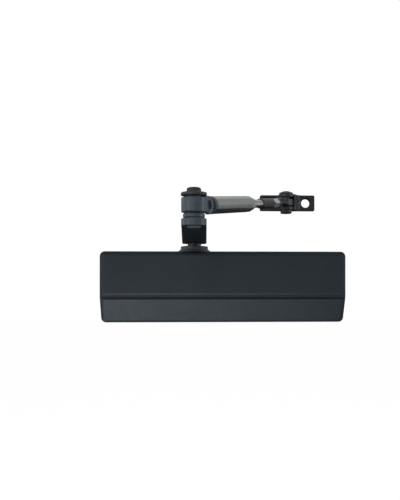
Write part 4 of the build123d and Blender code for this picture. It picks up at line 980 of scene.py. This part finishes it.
# ------------------------------------------------------------------ threads and nut
THREAD_PITCH = 1.25
THREAD_MAJOR = 4.1
THREAD_MINOR = 3.5
THREAD_ROOT = 0.10
THREAD_FLANK = 0.45
THREAD_TIP_INSET = 0.3
THREAD_TAPER = 1.0
THREAD_STEPS = 36
THREAD_ROWS = 8
AXIS_RADIUS = 0.01  # the ring that closes a flat end
NUT_FLATS = 13.2
NUT_THICKNESS = 6.8
NUT_CORNER_SHARE = 1.148
NUT_BORE = 4.15
NUT_BORE_CHAMFER = 0.6
NUT_CROWN_INSET = 0.15
# drop from the face and run out from the crown, along the chamfer that turns down the corners
NUT_CHAMFER = ((0.0, 0.0), (0.10, 0.25), (0.30, 0.70), (0.55, 1.15), (0.9, 2.0))
NUT_STEPS = 96
NUT_SHARP_ANGLE = 28


def thread_radius(height, angle):
    """The radius of an M8 thread: a rounded crest and root on straight flanks."""
    phase = (height / THREAD_PITCH - angle / (2 * math.pi)) % 1.0
    rise = 1 - abs(2 * phase - 1)
    flank = min(max((rise - THREAD_ROOT) / THREAD_FLANK, 0.0), 1.0)
    return THREAD_MINOR + (THREAD_MAJOR - THREAD_MINOR) * flank


def rod_span():
    """Where the threaded rod starts and ends along the forearm."""
    low, high = [np.array(corner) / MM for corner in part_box("threaded_rod")]
    reach = on_forearm.axes[:, 2]
    middle = ((low + high) / 2 - CROSS_PIN) @ reach
    half = (abs(high[2] - low[2]) - 2 * THREAD_MAJOR * math.sqrt(1 - reach[2] ** 2)) / (2 * reach[2])
    return middle - half, middle + half


def make_threaded_rod():
    start, end = rod_span()
    count = int((end - start) / THREAD_PITCH * THREAD_ROWS)
    angles = [2 * math.pi * i / THREAD_STEPS for i in range(THREAD_STEPS)]
    rows = [[(AXIS_RADIUS, angle, start) for angle in angles]]
    for row in range(count + 1):
        height = start + (end - start) * row / count
        limit = THREAD_MINOR - THREAD_TIP_INSET + min(height - start, end - height, THREAD_TAPER)
        rows.append([(min(thread_radius(height, angle), limit), angle, height) for angle in angles])
    rows.append([(AXIS_RADIUS, angle, end) for angle in angles])
    points, faces = turned_rows(rows, on_forearm, closed=False)
    add_piece("rod_thread", points, faces, "bright_zinc", "rod", ["threaded_rod"])


def nut_outline(angle):
    """The radius of a hexagon at an angle, with its corners a little rounded."""
    from_flat = (math.degrees(angle) + 30) % 60 - 30
    sharp = NUT_FLATS / 2 / math.cos(math.radians(from_flat))
    return min(sharp, NUT_FLATS / 2 * NUT_CORNER_SHARE)


def make_jam_nut():
    low, high = [np.array(corner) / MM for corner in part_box("jam_nut")]
    middle = ((low + high) / 2 - CROSS_PIN) @ on_forearm.axes[:, 2]
    half = NUT_THICKNESS / 2
    crown = NUT_FLATS / 2 - NUT_CROWN_INSET
    lower = [(-half + drop, crown + run) for drop, run in NUT_CHAMFER]
    upper = [(half - drop, crown + run) for drop, run in reversed(NUT_CHAMFER)]
    angles = [2 * math.pi * i / NUT_STEPS for i in range(NUT_STEPS)]
    rows = [
        [(min(nut_outline(angle), limit), angle, middle + level) for angle in angles]
        for level, limit in lower + upper
    ]
    mouth, inner = NUT_BORE + NUT_BORE_CHAMFER, half - NUT_BORE_CHAMFER
    for level, radius in ((half, mouth), (inner, NUT_BORE), (-inner, NUT_BORE), (-half, mouth)):
        rows.append([(radius, angle, middle + level) for angle in angles])
    points, faces = turned_rows(rows, on_forearm)
    nut = add_piece("nut", points, faces, "tube_zinc", "jam_nut", ["jam_nut"])
    nut.data.set_sharp_from_angle(angle=math.radians(NUT_SHARP_ANGLE))


# ------------------------------------------------------------------ everything
FINE_STEP = 0.32
ARM_STEP = 0.55


def make_arm_and_shoe():
    knuckle = ("arm_coat", "knuckle", "elbow_knuckle")
    # the main arm takes the finish with painted shade underneath
    arm = ("arm_coat", "spindle", "main_arm", FINISHES["arm_forging"])
    rod_end = ("shoe_coat", "rod", "rod_end", FINISHES["rod_end"], rod_end_bare)
    shoe = ("shoe_coat", "shoe", "shoe_bracket")
    cast_piece("knuckle_forging", knuckle_shape, FINE_STEP, *knuckle)
    cast_piece("arm_forging", arm_shape, ARM_STEP, *arm)
    cast_piece("rod_end_forging", rod_end_shape, FINE_STEP, *rod_end)
    cast_piece("shoe_casting", shoe_shape, FINE_STEP, *shoe)
    make_rivet_head()
    make_threaded_rod()
    make_jam_nut()


bpy.context.scene.view_settings.view_transform = "Standard"
make_camera()
make_floor()
make_world()
make_lamps()
finish_cad_nodes()
make_arm_and_shoe()
